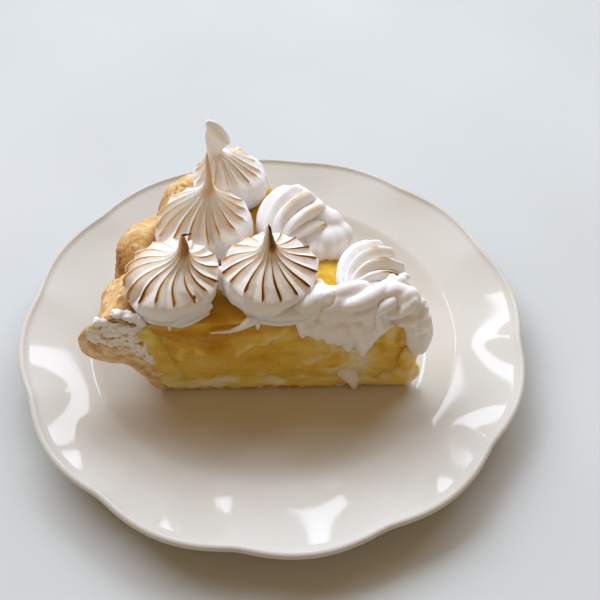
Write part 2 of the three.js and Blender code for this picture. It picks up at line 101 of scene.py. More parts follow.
def build(name, nets, finish, marks=None, weld=0.01):
    """Makes one object of nets, each (points, wrap). marks holds one value per point for each named mark."""
    corners, faces, start = [], [], 0
    for points, wrap in nets:
        rows, columns = points.shape[:2]
        corners.append(points.reshape(-1, 3))
        faces.append(weave(rows, columns, wrap) + start)
        start += rows * columns
    mesh = bpy.data.meshes.new(name)
    mesh.from_pydata(np.concatenate(corners) * MM, [], np.concatenate(faces).tolist())
    for mark, values in (marks or {}).items():
        layer = mesh.attributes.new(mark, "FLOAT", "POINT")
        layer.data.foreach_set("value", np.concatenate([v.ravel() for v in values]).astype(np.float32))
    shape = bmesh.new()
    shape.from_mesh(mesh)
    bmesh.ops.remove_doubles(shape, verts=shape.verts, dist=weld * MM)
    bmesh.ops.dissolve_degenerate(shape, edges=shape.edges, dist=weld * MM * 0.5)
    bmesh.ops.recalc_face_normals(shape, faces=shape.faces)
    shape.to_mesh(mesh)
    shape.free()
    mesh.materials.append(finish)
    mesh.shade_smooth()
    piece = bpy.data.objects.new(name, mesh)
    bpy.context.scene.collection.objects.link(piece)
    return piece


def paint(code):
    """An sRGB hex colour as linear light."""
    channels = [int(code[i:i + 2], 16) / 255 for i in (0, 2, 4)]
    return [c / 12.92 if c <= 0.04045 else ((c + 0.055) / 1.055) ** 2.4 for c in channels] + [1.0]


def add(tree, kind, sockets=None, stops=None, **options):
    """Adds a node: its options, the values of its sockets or the nodes or outputs they take theirs from, and
    the stops of a ramp. A node stands for its first output."""
    node = tree.nodes.new("ShaderNode" + kind)
    for option, value in options.items():
        setattr(node, option, value)
    for socket, value in (sockets or {}).items():
        if isinstance(value, bpy.types.Node):
            value = value.outputs[0]
        if isinstance(value, bpy.types.NodeSocket):
            tree.links.new(value, node.inputs[socket])
        else:
            node.inputs[socket].default_value = value
    if stops:
        ramp = node.color_ramp.elements
        while len(ramp) < len(stops):
            ramp.new(0.5)
        for element, (place, colour) in zip(ramp, stops):
            element.position, element.color = place, paint(colour)
    return node


def start(name):
    """A new material, its empty node tree and the places on the piece that its nodes go by."""
    finish = bpy.data.materials.new(name)
    finish.use_nodes = True
    finish.node_tree.nodes.clear()
    return finish, finish.node_tree, add(finish.node_tree, "TexCoord").outputs["Object"]


lip_turn = np.radians(np.linspace(0.78 * 180, -0.55 * 180, 26))
lip_arc = np.stack([np.cos(lip_turn), np.sin(lip_turn)], -1) * LIP_ROUND + LIP_CENTRE
lip_left = LIP_CENTRE[0] - LIP_ROUND
plate_line = np.concatenate([
    bend([(AXIS, WELL_TOP), (WELL_RADIUS, WELL_TOP)], 24),
    bend([(WELL_RADIUS, WELL_TOP), (66.5, WELL_TOP), (70.2, 8.2), CREASE], 30),
    bend([CREASE, (CREASE[0] + 0.5, CREASE[1] + 0.19), PAST_CREASE], 4),
    bend([PAST_CREASE, (88, 12.5), (lip_left, LIP_CENTRE[1] + 0.5)], 30),
    lip_arc,
    bend([lip_arc[-1], (87, 8.6), UNDER_RIM], 18),
    bend([UNDER_RIM, (65, 1.8), FOOT_OUTSIDE[0]], 12),
    bend(FOOT_OUTSIDE, 5),
    bend(FOOT_TREAD, 3),
    bend(FOOT_INSIDE, 5),
    bend([(50, WELL_UNDER), (AXIS, WELL_UNDER)], 10),
    [(AXIS, WELL_UNDER)],
])
turn = np.linspace(0, 2 * math.pi, PLATE_COLUMNS, endpoint=False)[None, :]
line_radius, line_height = plate_line[:, 0, None], plate_line[:, 1, None]
swing = np.sin(LOBES / 2 * (turn - math.radians(NOTCH_BEARING)))
fullness = np.sqrt((swing ** 2 + NOTCH_SOFTNESS ** 2) / (1 + NOTCH_SOFTNESS ** 2))
drawn = ease(line_radius, RIM_START, PLATE_RADIUS) * (1 - fullness)
plate_reach = line_radius * (1 - drawn * LOBE_DEPTH / PLATE_RADIUS)
plate_net = np.stack([
    plate_reach * np.cos(turn), plate_reach * np.sin(turn), line_height + drawn * LOBE_LIFT
], -1)

# Glazed porcelain: a warm off-white body under clear glaze, so it mirrors softly and pools a little darker
# where the glaze ran. The glaze is level to within hundredths of a millimetre over 20 mm.
porcelain, tree, place = start("glazed_porcelain")
pooling = add(tree, "TexNoise", {"Vector": place, "Scale": 26.0, "Detail": 3.0, "Roughness": 0.5})
body_tint = add(tree, "ValToRGB", {"Fac": pooling}, stops=[
    (0.3, "CDC5B6"), (0.7, "D4CDBF"),
])
specks = add(tree, "TexNoise", {"Vector": place, "Scale": 900.0, "Detail": 1.0})
speck_share = add(tree, "MapRange", {
    "Value": specks, "From Min": 0.74, "From Max": 0.8, "To Min": 0.0, "To Max": 0.14
})
speckled = add(tree, "Mix", {
    0: speck_share, 6: body_tint, 7: paint("A89F90")
}, data_type="RGBA")
smears = add(tree, "TexNoise", {"Vector": place, "Scale": 55.0, "Detail": 4.0, "Roughness": 0.6})
gloss = add(tree, "MapRange", {"Value": smears, "To Min": 0.03, "To Max": 0.08})
ripple = add(tree, "TexNoise", {"Vector": place, "Scale": 38.0, "Detail": 2.0, "Roughness": 0.45})
glaze_level = add(tree, "Bump", {"Height": ripple, "Strength": 0.4, "Distance": 0.0001})
shader = add(tree, "BsdfPrincipled", {
    "Base Color": speckled.outputs[2], "Roughness": gloss, "IOR": 1.52,
    "Normal": glaze_level, "Subsurface Weight": 0.08,
    "Subsurface Radius": (0.004, 0.003, 0.002), "Subsurface Scale": 0.4,
})
add(tree, "OutputMaterial", {"Surface": shader})

plate = build("porcelain_plate", [(plate_net, True)], porcelain)
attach(plate, "root")
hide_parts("plate")

# --------------------
# Crust: shortcrust rolled in thin layers, pressed into a deep dish, its rim pinched into fat knobs, then
# baked golden. It is cut along two bearings from the middle of the whole pie, which lies at the point.
PIE_CENTRE = np.array([56, -24.6])
FRONT_CUT, BACK_CUT = 183.2, 130
POINT_RADIUS = 3
CRUST_BASE = 5.3
CRUST_OUTSIDE = np.array([
    (3, 5.3), (60, 5.3), (90, 5.3), (98, 5.3), (102.8, 8), (105, 13), (108, 18.5), (111.5, 23.3), (117, 24.6),
    (121.6, 27), (124.4, 31.5), (124.2, 37), (121.6, 41.5), (117.6, 45.6), (114, 48.8),
])
CRUST_INSIDE = np.array([
    (3, 9.5), (60, 9.5), (88, 9.5), (93, 9.6), (95.4, 13), (96.6, 18), (98, 23.5), (99.6, 28.5), (101, 32.5),
    (102.2, 36), (103.4, 39.5), (104.6, 42.5), (105.8, 45.2), (107.5, 47.6), (110.5, 49.6),
])
CRIMP_PITCH, CRIMP_CREST = 16, 161
CRIMP_DEPTH, CRIMP_DIP = 6, 3.4
CRIMP_FROM, CRIMP_FULL = 20, 32
KNOB_ROUNDNESS = 0.6
KNOB_LIFT, KNOB_BULGE, KNOB_FULL = 4.6, 2.6, 44
CREST_FROM, CREST_HEIGHT = 46, 49.6
PRESSED_BEARING, PRESSED_WIDTH, PRESSED_DEPTH, PRESSED_SHARE = 177, 6, 3, 0.6
FLARE_WIDTH, FLARE_REACH = 1.6, 6
CROWN = np.array([0.15, 0.32, 0.5, 0.68, 0.85])  # how far over the rim's top its rows lie
CRUST_COLUMNS, OUTSIDE_ROWS, INSIDE_ROWS = 260, 205, 110
CUT_ROWS, CUT_COLUMNS = 150, 24
SHEET_PITCH = 1.7  # from one layer of pastry to the next, where they show on the rim


def line_at(places, known, points):
    """The points of a line at some places along it. known holds the places of its own points."""
    return np.stack([np.interp(places, known, column) for column in points.T], -1)


def bow(stops, count):
    """A smooth curve through stops, at count points spaced evenly along it."""
    stops = np.asarray(stops, float)
    chord = np.concatenate([[0], np.cumsum(np.hypot(*np.diff(stops, axis=0).T))])
    slope = np.gradient(stops, chord, axis=0)
    fine = np.linspace(0, chord[-1], 1200)
    part = np.clip(np.searchsorted(chord, fine, "right") - 1, 0, len(chord) - 2)
    step = (chord[part + 1] - chord[part])[:, None]
    t = ((fine - chord[part])[:, None]) / step
    curve = ((2 * t ** 3 - 3 * t ** 2 + 1) * stops[part] + (t ** 3 - 2 * t ** 2 + t) * step * slope[part]
             + (3 * t ** 2 - 2 * t ** 3) * stops[part + 1] + (t ** 3 - t ** 2) * step * slope[part + 1])
    run = np.concatenate([[0], np.cumsum(np.hypot(*np.diff(curve, axis=0).T))])
    even = np.linspace(0, run[-1], count)
    return line_at(even, run, curve)


def lumps(points, size, seed):
    """Smooth random swells from -1 to 1, about size across. size may differ along x, y and z."""
    table = np.random.default_rng(seed).uniform(-1, 1, (24, 24, 24))
    spot = np.asarray(points) / np.asarray(size) + seed * 3.7
    cell = np.floor(spot).astype(int)
    share = spot - cell
    share = share ** 3 * (share * (share * 6 - 15) + 10)
    total = np.zeros(spot.shape[:-1])
    for corner in itertools.product((0, 1), repeat=3):
        weight = np.prod(np.where(corner, share, 1 - share), axis=-1)
        near = (cell + corner) % 24
        total += weight * table[near[..., 0], near[..., 1], near[..., 2]]
    return total


def rough(points, size, seed, layers=3):
    """Swells with ever finer ones on them."""
    return sum(lumps(points, np.asarray(size) / 2 ** n, seed + n) / 2 ** n for n in range(layers))


def unit(ways):
    """Ways brought to a length of 1."""
    return ways / np.linalg.norm(ways, axis=-1, keepdims=True)


def pie_at(bearing, distance, height):
    """The places at distances and heights along bearings from the middle of the pie."""
    turned = np.radians(bearing)
    flat = [PIE_CENTRE[0] + distance * np.cos(turned), PIE_CENTRE[1] + distance * np.sin(turned)]
    return np.stack(np.broadcast_arrays(*flat, height), -1).astype(float)


def from_centre(points):
    """How far places are from the middle of the pie."""
    return np.hypot(points[..., 0] - PIE_CENTRE[0], points[..., 1] - PIE_CENTRE[1])


def heading(bearing):
    """The level way along a bearing."""
    return np.array([math.cos(math.radians(bearing)), math.sin(math.radians(bearing)), 0])


OFF_FRONT, OFF_BACK = heading(FRONT_CUT + 90), heading(BACK_CUT - 90)  # the ways straight out of the two cuts


def taper(count, steps):
    """1 along count rows or columns of a net, down to 0 over some steps at both ends."""
    return np.minimum(1, np.minimum(np.arange(count), np.arange(count)[::-1]) / steps)


def outward(net, wrap):
    """The unit normals of a net of points."""
    down = np.gradient(net, axis=0)
    if wrap:
        across = (np.roll(net, -1, 1) - np.roll(net, 1, 1)) / 2
    else:
        across = np.gradient(net, axis=1)
    normal = np.cross(across, down)
    return normal / np.maximum(np.linalg.norm(normal, axis=-1, keepdims=True), 1e-9)


bearing = np.linspace(FRONT_CUT, BACK_CUT, CRUST_COLUMNS)[None, :]
knob = np.abs(np.cos(math.pi * (bearing - CRIMP_CREST) / CRIMP_PITCH)) ** KNOB_ROUNDNESS
pressed = bell(bearing - PRESSED_BEARING, PRESSED_WIDTH)
whole = knob * (1 - PRESSED_SHARE * pressed)
out_line, in_line = bow(CRUST_OUTSIDE, OUTSIDE_ROWS), bow(CRUST_INSIDE, INSIDE_ROWS)
out_r, out_z = out_line[:, 0, None], out_line[:, 1, None]
rim = ease(out_z, CRIMP_FROM, CRIMP_FULL)
flare = FLARE_REACH * bell(bearing - FRONT_CUT, FLARE_WIDTH) * rim
top_share = ease(out_z, CRIMP_FULL, KNOB_FULL)
swell = KNOB_LIFT * whole - CRIMP_DIP * (1 - knob)
drawn_in = ((1 - knob) * CRIMP_DEPTH + pressed * PRESSED_DEPTH) * rim
out_net = pie_at(
    bearing, out_r - drawn_in + flare + KNOB_BULGE * whole * top_share, out_z + swell * top_share
)
in_r, in_z = in_line[:, 0, None], in_line[:, 1, None]
in_net = pie_at(bearing, in_r + 0 * bearing, in_z + swell * ease(in_z, CREST_FROM, CREST_HEIGHT))
crown = np.array([mix(out_net[-1], in_net[-1], share) for share in CROWN])
crown[..., 2] += 0.5 * np.sin(np.pi * CROWN)[:, None]
inside_from = len(out_net) + len(CROWN)
crust_net = np.concatenate([out_net, crown, in_net[::-1]])
face = -outward(crust_net, False)  # the net is wound so that outward points in
spot = crust_net.copy()
warp = rough(spot, 16, 11) * 2.2 + rough(spot, 5, 17) * 1.1 + lumps(spot, 2.4, 19) * 0.5
layer = (spot[..., 2] + warp) / SHEET_PITCH
torn = layer % 1
wall = ease(crust_net[..., 2], 8, 20)
patch = ease(rough(spot, 6, 23), -0.35, 0.75)
shows = np.ones(len(crust_net))
shows[inside_from:] = 0.25
shows = shows[:, None] * wall
sheets = (0.5 - torn) * ease(torn, 0, 0.12) * (0.12 + 0.88 * patch)
blister = rough(spot, 6.5, 31)
grain = rough(spot, 1.6, 37)
edge = taper(CRUST_COLUMNS, 2)[None, :]
relief = shows * (1.15 * sheets + 0.55 * blister + 0.2 * grain) * mix(0.5, 1, edge)
crust_net = crust_net + face * relief[..., None]
crust_net[..., 2] = np.maximum(crust_net[..., 2], CRUST_BASE)
pinch = (1 - knob) * ease(crust_net[..., 2], 22, 34)
brown = (0.42 + 0.34 * pinch - 0.16 * ease(crust_net[..., 2], 40, 54) - 0.5 * sheets * shows
         + 0.18 * rough(spot, 7, 41) + 0.05 * grain)
brown = brown - 0.22 * (1 - ease(crust_net[..., 2], 20, 30)) * wall
brown = np.where(wall < 0.5, 0.5 + 0.2 * (1 - wall) + 0.1 * rough(spot, 5, 43), brown)

# The two cut faces, each spanned between the outer and the inner line of the crust
cut_faces, cut_brown, cut_lines = [], [], []
rows = np.linspace(0, 1, CUT_ROWS)
across = np.linspace(0, 1, CUT_COLUMNS)[None, :, None]
for column, off_cut in ((0, OFF_FRONT), (CRUST_COLUMNS - 1, OFF_BACK)):
    sides = crust_net[:len(out_net), column], crust_net[inside_from:, column][::-1]
    cut_lines.append([line_at(rows, np.linspace(0, 1, len(side)), side) for side in sides])
    outer, inner = cut_lines[-1]
    cut = mix(outer[:, None], inner[:, None], across)
    middle = 4 * across[..., 0] * (1 - across[..., 0]) * (np.sin(np.pi * rows) ** 0.3)[:, None]
    shift = (0.7 * rough(cut, 2.4, 47) + 0.35 * lumps(cut, 1.0, 53)) * np.clip(middle, 0, 1)
    cut = cut + shift[..., None] * off_cut
    cut_faces.append((cut, False))
    cut_brown.append(0.2 + 0.3 * rough(cut, 1.8, 59) + 0.2 * (1 - ease(cut[..., 2], 8, 12)))

# Baked shortcrust: dry butter pastry, pale straw on the fat knobs and toffee brown in the pinches and along
# torn sheets. Crumb is drawn about 1 mm across, as coarse as it needs to show.
pastry, tree, place = start("baked_shortcrust")
baked = add(tree, "Attribute", attribute_name="brown")
blotch = add(tree, "TexNoise", {"Vector": place, "Scale": 210.0, "Detail": 4.0, "Roughness": 0.6})
crumb = add(tree, "TexNoise", {"Vector": place, "Scale": 950.0, "Detail": 3.0, "Roughness": 0.65})
blotch_share = add(tree, "MapRange", {"Value": blotch, "To Min": -0.2, "To Max": 0.2})
crumb_share = add(tree, "MapRange", {"Value": crumb, "To Min": -0.11, "To Max": 0.11})
blotched = add(tree, "Math", {0: baked.outputs["Fac"], 1: blotch_share}, operation="ADD")
crumbed = add(tree, "Math", {0: blotched, 1: crumb_share}, operation="ADD")
baked_tint = add(tree, "ValToRGB", {"Fac": crumbed}, stops=[
    (0.0, "F6E3BC"), (0.22, "EBCB93"), (0.42, "D9A866"), (0.66, "B57A3C"),
    (0.85, "84501F"), (1.0, "553012"),
])
dryness = add(tree, "MapRange", {"Value": crumb, "To Min": 0.42, "To Max": 0.72})
crumb_relief = add(tree, "Bump", {"Height": crumb, "Strength": 0.7, "Distance": 0.0005})
shader = add(tree, "BsdfPrincipled", {
    "Base Color": baked_tint, "Roughness": dryness, "IOR": 1.45,
    "Normal": crumb_relief, "Subsurface Weight": 0.15,
    "Subsurface Radius": (0.0022, 0.0012, 0.0005), "Subsurface Scale": 1.0,
})
add(tree, "OutputMaterial", {"Surface": shader})

crust = build(
    "shortcrust_shell", [(crust_net, False), *cut_faces], pastry, {"brown": [brown, *cut_brown]}, weld=0.02
)
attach(crust, "root")
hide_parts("crust")

# --------------------
# Filling: lemon custard boiled with egg yolks and cornflour, poured into the shell and set. The knife drags
# it, so both cut sides are torn and smeared, glossy where the custard broke clean and pale where it smeared.
GAP = 0.3
FILLING_BASE, FILLING_TOP = 9.8, 46.5
DENT_DEPTH = 1.8
HOLES = 34  # where the knife opened bubbles
SIDE_NET, TOP_NET, WALL_NET = (230, 92), (170, 76), (24, 90)
# Where the front cut stayed deep and glossy: distance from the middle, height, half-widths and strength
CLEAR_CURD = [
    (96, 42, 12, 5.0, 0.8), (84, 40, 9, 7, 0.75), (77, 31, 5.5, 4.5, 0.8), (71, 41, 8, 5, 0.8),
    (56, 44, 12, 3.4, 0.9), (44, 38, 4, 4, 0.6), (33, 35, 5, 3, 0.35), (32, 20.2, 3.4, 1.2, 0.9),
    (7.4, 38, 1.5, 8, 0.8), (14.6, 35, 1.6, 6, 0.6), (11, 29, 5, 2.5, 0.3), (94, 26, 4, 5, 0.5),
    (60, 24, 9, 8, 0.12),
]
# Where it is pale with foam worked in, in the same way
SMEARED_PALE = [
    (25, 18, 10, 5.5, 0.85), (36, 36, 4, 4, 0.4), (28, 36, 3, 4, 0.4), (12, 37, 7, 9, 0.15),
    (102, 30, 4, 8, 0.4), (80, 20, 12, 5, 0.18), (20, 25, 5, 4, 0.3), (3, 21, 4, 3.5, 0.3),
    (106, 42, 3, 6, 0.5), (38, 29, 9, 3, 0.22), (41, 37, 1.2, 5, 0.5), (34.5, 33, 1.2, 5, 0.5),
    (28, 29, 1.6, 6, 0.5), (22, 24, 2, 6, 0.5),
]
# Ridges of paler curd left by the knife: distances and heights along each, and how wide it is
PALE_RIDGES = [
    (((91, 33), (90, 28), (87, 24)), 1.5), (((69, 26), (64, 31), (57, 37), (49, 42)), 1.3),
    (((102, 24), (98, 16), (94, 12)), 1.6), (((88, 14), (74, 12.5), (60, 14), (46, 12), (30, 13)), 1.1),
    (((85, 34), (82, 28)), 1.0), (((46, 20), (38, 23), (30, 27)), 1.2),
]


def wall_at(height):
    """How far from the middle of the pie the filling reaches at a height."""
    line = CRUST_INSIDE[2:-2]
    return np.interp(height, line[:, 1], line[:, 0]) - GAP


def patches(distance, height, spots):
    """How strongly some rounded spots cover a place on a cut."""
    total = np.zeros(np.broadcast(distance, height).shape)
    for d, z, wide, tall, strength in spots:
        total += strength * np.exp(-((distance - d) / wide) ** 2 - ((height - z) / tall) ** 2)
    return total


def ridges(distance, height, paths):
    """How near a place is to any of some paths, 1 on them and 0 well away."""
    total = np.zeros(np.broadcast(distance, height).shape)
    for stops, wide in paths:
        for (d0, z0), (d1, z1) in zip(stops, stops[1:]):
            run, climb = d1 - d0, z1 - z0
            share = np.clip(((distance - d0) * run + (height - z0) * climb) / (run ** 2 + climb ** 2), 0, 1)
            apart = np.hypot(distance - d0 - share * run, height - z0 - share * climb)
            total = np.maximum(total, bell(apart, wide))
    return total


def off_edges(a, b, steep_a, steep_b):
    """0 at the edges of a patch on which a and b run from 0 to 1, and 1 well away from them."""
    return np.clip(np.minimum(np.minimum(a, 1 - a) * steep_a, np.minimum(b, 1 - b) * steep_b), 0, 1)


def shares(rows, columns):
    """From 0 to 1 down the rows of a net, and from 0 to 1 across its columns."""
    return np.linspace(0, 1, rows)[:, None], np.linspace(0, 1, columns)[None, :]


def filling_at(s, t, u):
    """A place in the filling: s from point to crust, t from base to top, u from front cut to back cut."""
    height = mix(FILLING_BASE, FILLING_TOP, t)
    distance = mix(POINT_RADIUS, wall_at(height), s)
    return pie_at(mix(FRONT_CUT, BACK_CUT, u), distance, height)


def cut_side(u):
    """One cut side of the filling, its relief and how deep its colour is."""
    s, t = shares(*SIDE_NET)
    net = filling_at(s, t, u)
    height = net[..., 2]
    distance = from_centre(net)
    flat = np.stack([distance, height, np.full_like(height, 40.0 * u)], -1)
    ripple = np.sin(9 * s + 5 * t) * np.cos(7 * t - 4 * s)
    tear = DENT_DEPTH * 16 * s * (1 - s) * t * (1 - t) * (1 + ripple) / 2
    rim_fade = off_edges(s, t, 40, 22)
    drift = flat + np.stack([0 * height, 1.6 * lumps(flat, (17, 9, 9), 61), 0 * height], -1)
    strokes = 0.15 * rough(drift, (15, 3.4, 5), 67) + 0.7 * rough(drift, (10, 6, 5), 71)
    broken = ease(lumps(flat, (4.2, 3.0, 4), 73), 0.42, 0.75)
    relief = strokes - 0.8 * broken + 0.5 * np.sin(np.pi * t) * (1 - t)
    random = np.random.default_rng(79 + int(u))
    for _ in range(HOLES):
        d, z = random.uniform(8, 100), random.uniform(12, 44)
        wide, deep = random.uniform(0.35, 1.1), random.uniform(0.4, 1.1)
        hole = np.exp(-(((distance - d) / (wide * 1.5)) ** 2 + ((height - z) / wide) ** 2) ** 1.6)
        relief = relief - deep * hole
    reach = (relief * rim_fade - tear)[..., None]
    off_cut = OFF_FRONT if u < 0.5 else OFF_BACK
    net = net + reach * off_cut
    clear = patches(distance + 2 * lumps(flat, 7, 83), height + 1.5 * lumps(flat, 6, 89), CLEAR_CURD)
    pale = patches(distance + 3 * lumps(flat, 8, 97), height + 1.2 * lumps(flat, 5, 101), SMEARED_PALE)
    ridge = ridges(distance + 2.2 * lumps(flat, 5, 91), height + 2.2 * lumps(flat, 5, 93), PALE_RIDGES)
    ridge = ridge * ease(lumps(flat, 3, 95), -0.6, 0.3)
    if u > 0.5:
        clear, pale, ridge = 0.55 * clear[::-1] + 0.15, 0.7 * pale[::-1], ridge[::-1]
    net = net + (0.5 * ridge * rim_fade)[..., None] * off_cut
    streak = rough(drift, (9, 7, 5), 105)
    deep = 0.5 + 0.5 * clear - 0.6 * pale + 0.15 * streak - 0.12 * broken - 0.34 * ridge
    return net, np.clip(deep, 0, 1)


front_net, front_deep = cut_side(0)
back_net, back_deep = cut_side(1)
s, u = shares(*TOP_NET)
top_net = filling_at(s, 1 + 0 * u, u)
top_net[..., 2] += (0.7 * rough(top_net, 9, 107) + 0.6) * off_edges(s, u, 16, 12)
# The top, seen in the hollows between the kisses, is a deeper, darker yellow than the cut faces. This is
# partly the deeper colour of the unsmeared top and partly painted shade of those hollows.
top_deep_and_shade = 0.76 + 0.22 * rough(top_net, 8, 109)
base_net = filling_at(s[::13], 0 * u[:, ::5], u[:, ::5])
t, u = shares(*WALL_NET)
wall_net, point_net = filling_at(1, t, u), filling_at(0, t, u)

# Set lemon custard: yolk-yellow gel that lets light a few millimetres in, wet and glossy on a clean break,
# chalkier and lighter where the knife worked meringue and air into it. On its top the deeper yellow is
# partly painted shade of the hollows between the kisses.
lemon, tree, place = start("set_lemon_custard")
depth = add(tree, "Attribute", attribute_name="deep")
cloud = add(tree, "TexNoise", {"Vector": place, "Scale": 160.0, "Detail": 4.0, "Roughness": 0.6})
cloud_share = add(tree, "MapRange", {"Value": cloud, "To Min": -0.1, "To Max": 0.1})
depth_sum = add(tree, "Math", {0: depth.outputs["Fac"], 1: cloud_share}, operation="ADD")
curd_tint = add(tree, "ValToRGB", {"Fac": depth_sum}, stops=[
    (0.0, "F4E7C4"), (0.2, "F0DA92"), (0.45, "E9C656"), (0.7, "DDAD2C"),
    (1.0, "C68C0E"),
])
wetness = add(tree, "MapRange", {"Value": depth_sum, "To Min": 0.5, "To Max": 0.14})
grainy = add(tree, "TexNoise", {"Vector": place, "Scale": 620.0, "Detail": 3.0})
curd_relief = add(tree, "Bump", {"Height": grainy, "Strength": 0.35, "Distance": 0.0005})
shader = add(tree, "BsdfPrincipled", {
    "Base Color": curd_tint, "Roughness": wetness, "IOR": 1.38,
    "Normal": curd_relief, "Subsurface Weight": 0.45,
    "Subsurface Radius": (0.006, 0.0035, 0.0009), "Subsurface Scale": 1.0,
})
add(tree, "OutputMaterial", {"Surface": shader})

hidden = [base_net, wall_net, point_net]
filling_nets = [(net, False) for net in (front_net, back_net, top_net, *hidden)]
filling_deep = [front_deep, back_deep, top_deep_and_shade, *(np.full(net.shape[:2], 0.5) for net in hidden)]
filling = build("lemon_custard", filling_nets, lemon, {"deep": filling_deep})
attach(filling, "root")
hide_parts("lemon_filling")

# --------------------
# Kisses: stiff egg-white meringue piped through a large star nozzle with 16 teeth. Each squeeze bulges at
# the foot, its ridges run from a ring of sharp ends up to a drawn tip, and a blowtorch browned the ridges
# and burnt the tips. The dark ridge lines lie on each ridge's side away from the lamp and are heavier on the
# ridges at the front right. They are partly real toasting and partly painted shade. Two kisses by the back
# cut were pushed over, so that their ribs slant, and the back cut went through them.

FLUTES = 16
KISS_FOOT = FILLING_TOP + GAP
# The way straight away from the lamp behind on the left. On this side of each ridge go its dark line, its tan
# border and its heavier browning, partly real toasting and partly painted shade.
SHADE_SIDE_BEARING = -56
# first: bearing of one ridge; ring: height of the ridge ends in radii; drop: how much lower they are on the
# left; swing: how far ridges bow sideways; browned: how dark their lines are; tan: the foam under the ring;
# spire: how brown the tip is; tilt, toward, back, lift: how a pushed kiss lies; ribs: how many it has;
# ribs_to: the way that they run together; ribs_from: where the first is; twist: how they wind round it
KISSES = {
    "front_left": dict(x=-36.6, y=-16.2, radius=17.4, height=33.6, lean=(6.2, 0), first=11, swing=-11,
                       ring=0.79, drop=0.36, browned=0.5, tan=0.05, spire=0.5),
    "front_middle": dict(x=-0.8, y=-12.2, radius=17.8, height=34, lean=(-0.2, 0), first=-8.7, swing=-5,
                         ring=0.8, drop=0, browned=0.62, tan=0.05, spire=0.62),
    "back_left": dict(x=-27.4, y=15.5, radius=18.9, height=45, lean=(3.6, -3.5), first=10, swing=-5,
                      ring=0.7, drop=0.2, browned=0.32, tan=0.03, spire=0.3),
    "rear": dict(x=-20, y=41.5, radius=16.2, height=37, lean=(-5, 0), first=4, swing=0,
                 ring=0.84, drop=0.1, browned=0.27, tan=0.03, spire=0.12),
    "back_middle": dict(x=7, y=20.5, radius=16.2, height=23.4, lean=(0, 0), first=0, swing=0, ring=0.3,
                        drop=0, browned=0.3, tilt=76, toward=232, back=8.2, lift=2.7, ribs=12,
                        ribs_to=(-0.25, -0.96, 0.02), ribs_from=8, twist=-32),
    "point": dict(x=37.7, y=-7.5, radius=14.8, height=22.5, lean=(0, 0), first=0, swing=0, ring=0.28,
                  drop=0, browned=0.85, tilt=74, toward=236, back=7.6, lift=3, ribs=12,
                  ribs_to=(-0.6, -0.72, 0.3), ribs_from=0, twist=-58),
}
# Outlines as heights and radii: bodies in radii of the kiss, spires as shares of the way up to the tip, and
# the dome of a pushed kiss as shares of its height and radius
BODY = np.array([
    (0, 0.78), (0.12, 0.87), (0.27, 0.94), (0.42, 0.975), (0.6, 1), (0.72, 0.99), (0.8, 0.94), (0.87, 0.85),
    (0.93, 0.72), (1, 0.55), (1.07, 0.39), (1.14, 0.28), (1.24, 0.2), (1.37, 0.135),
])
TALL_BODY = np.array([
    (0, 0.86), (0.12, 0.96), (0.28, 1), (0.44, 1), (0.55, 0.96), (0.66, 0.87), (0.78, 0.75), (0.9, 0.62),
    (1.02, 0.49), (1.14, 0.37), (1.26, 0.26), (1.37, 0.17), (1.46, 0.125),
])
REAR_BODY = np.array([
    (0, 0.84), (0.1, 0.93), (0.23, 0.985), (0.4, 0.99), (0.52, 0.965), (0.63, 0.915), (0.75, 0.82),
    (0.88, 0.7), (1, 0.57), (1.12, 0.44), (1.24, 0.32), (1.34, 0.23), (1.43, 0.18),
])
SPIRE = np.array([(0.3, 0.105), (0.6, 0.066), (0.85, 0.036), (1, 0.008)])
TALL_SPIRE = np.array([(0.25, 0.075), (0.6, 0.056), (0.88, 0.032), (1, 0.006)])
STUB = np.array([(0.5, 0.17), (1, 0.02)])
DOME = np.array([
    (0, 0.72), (0.08, 0.88), (0.2, 0.98), (0.34, 1), (0.48, 0.96), (0.6, 0.88), (0.71, 0.77), (0.81, 0.63),
    (0.9, 0.46), (0.96, 0.28), (1, 0.03),
])
# The rear kiss ends in a bent flake: height above its foot, middle, half-width and half-depth
FLAKE = np.array([
    (21.5, -25.1, 3.1, 3.0), (23.5, -25.1, 2.9, 2.6), (25, -24.2, 3.7, 2.4), (27.2, -22.9, 5.0, 2.3),
    (29.5, -23.6, 4.4, 2.1), (32, -24.3, 3.6, 1.9), (34.3, -25.0, 3.0, 1.6), (36.2, -25.9, 2.0, 1.1),
    (37, -26.3, 0.5, 0.4),
])
FLUTE_DEPTH, PUSHED_DEPTH = 0.19, 0.25  # shares of the radius
LEAST_REACH = 0.12
KNIFE_MARGIN = 3.2  # how far a cut kiss stands out past the cut of the filling
# Columns across one flute, close together at its ridge
FLUTE_COLUMNS = np.array([
    -0.5, -0.41, -0.31, -0.22, -0.15, -0.1, -0.06, -0.026, 0, 0.026, 0.06, 0.1, 0.15, 0.22, 0.31, 0.41
])
KISS_ROWS = 126


def soft_least(a, b, blend):
    """The lesser of two lengths, rounded where they are nearly the same."""
    share = np.clip(0.5 + 0.5 * (b - a) / blend, 0, 1)
    return mix(b, a, share) - blend * share * (1 - share)


def rim_at(height):
    """How far from the middle of the pie a kiss may reach at a height before it meets the crust."""
    line = CRUST_INSIDE[2:]
    lifted = line[:, 1] + KNOB_LIFT * ease(line[:, 1], CREST_FROM, CREST_HEIGHT)
    return np.interp(height, lifted, line[:, 0]) - GAP


def kiss_axis(shape):
    """The way up a kiss and the two ways across it."""
    tilt, toward = math.radians(shape.get("tilt", 0)), math.radians(shape.get("toward", 0))
    level = np.array([math.cos(toward), math.sin(toward), 0])
    up = level * math.sin(tilt) + np.array([0, 0, math.cos(tilt)])
    across = level * math.cos(tilt) - np.array([0, 0, math.sin(tilt)])
    return up, across, np.cross(up, across)


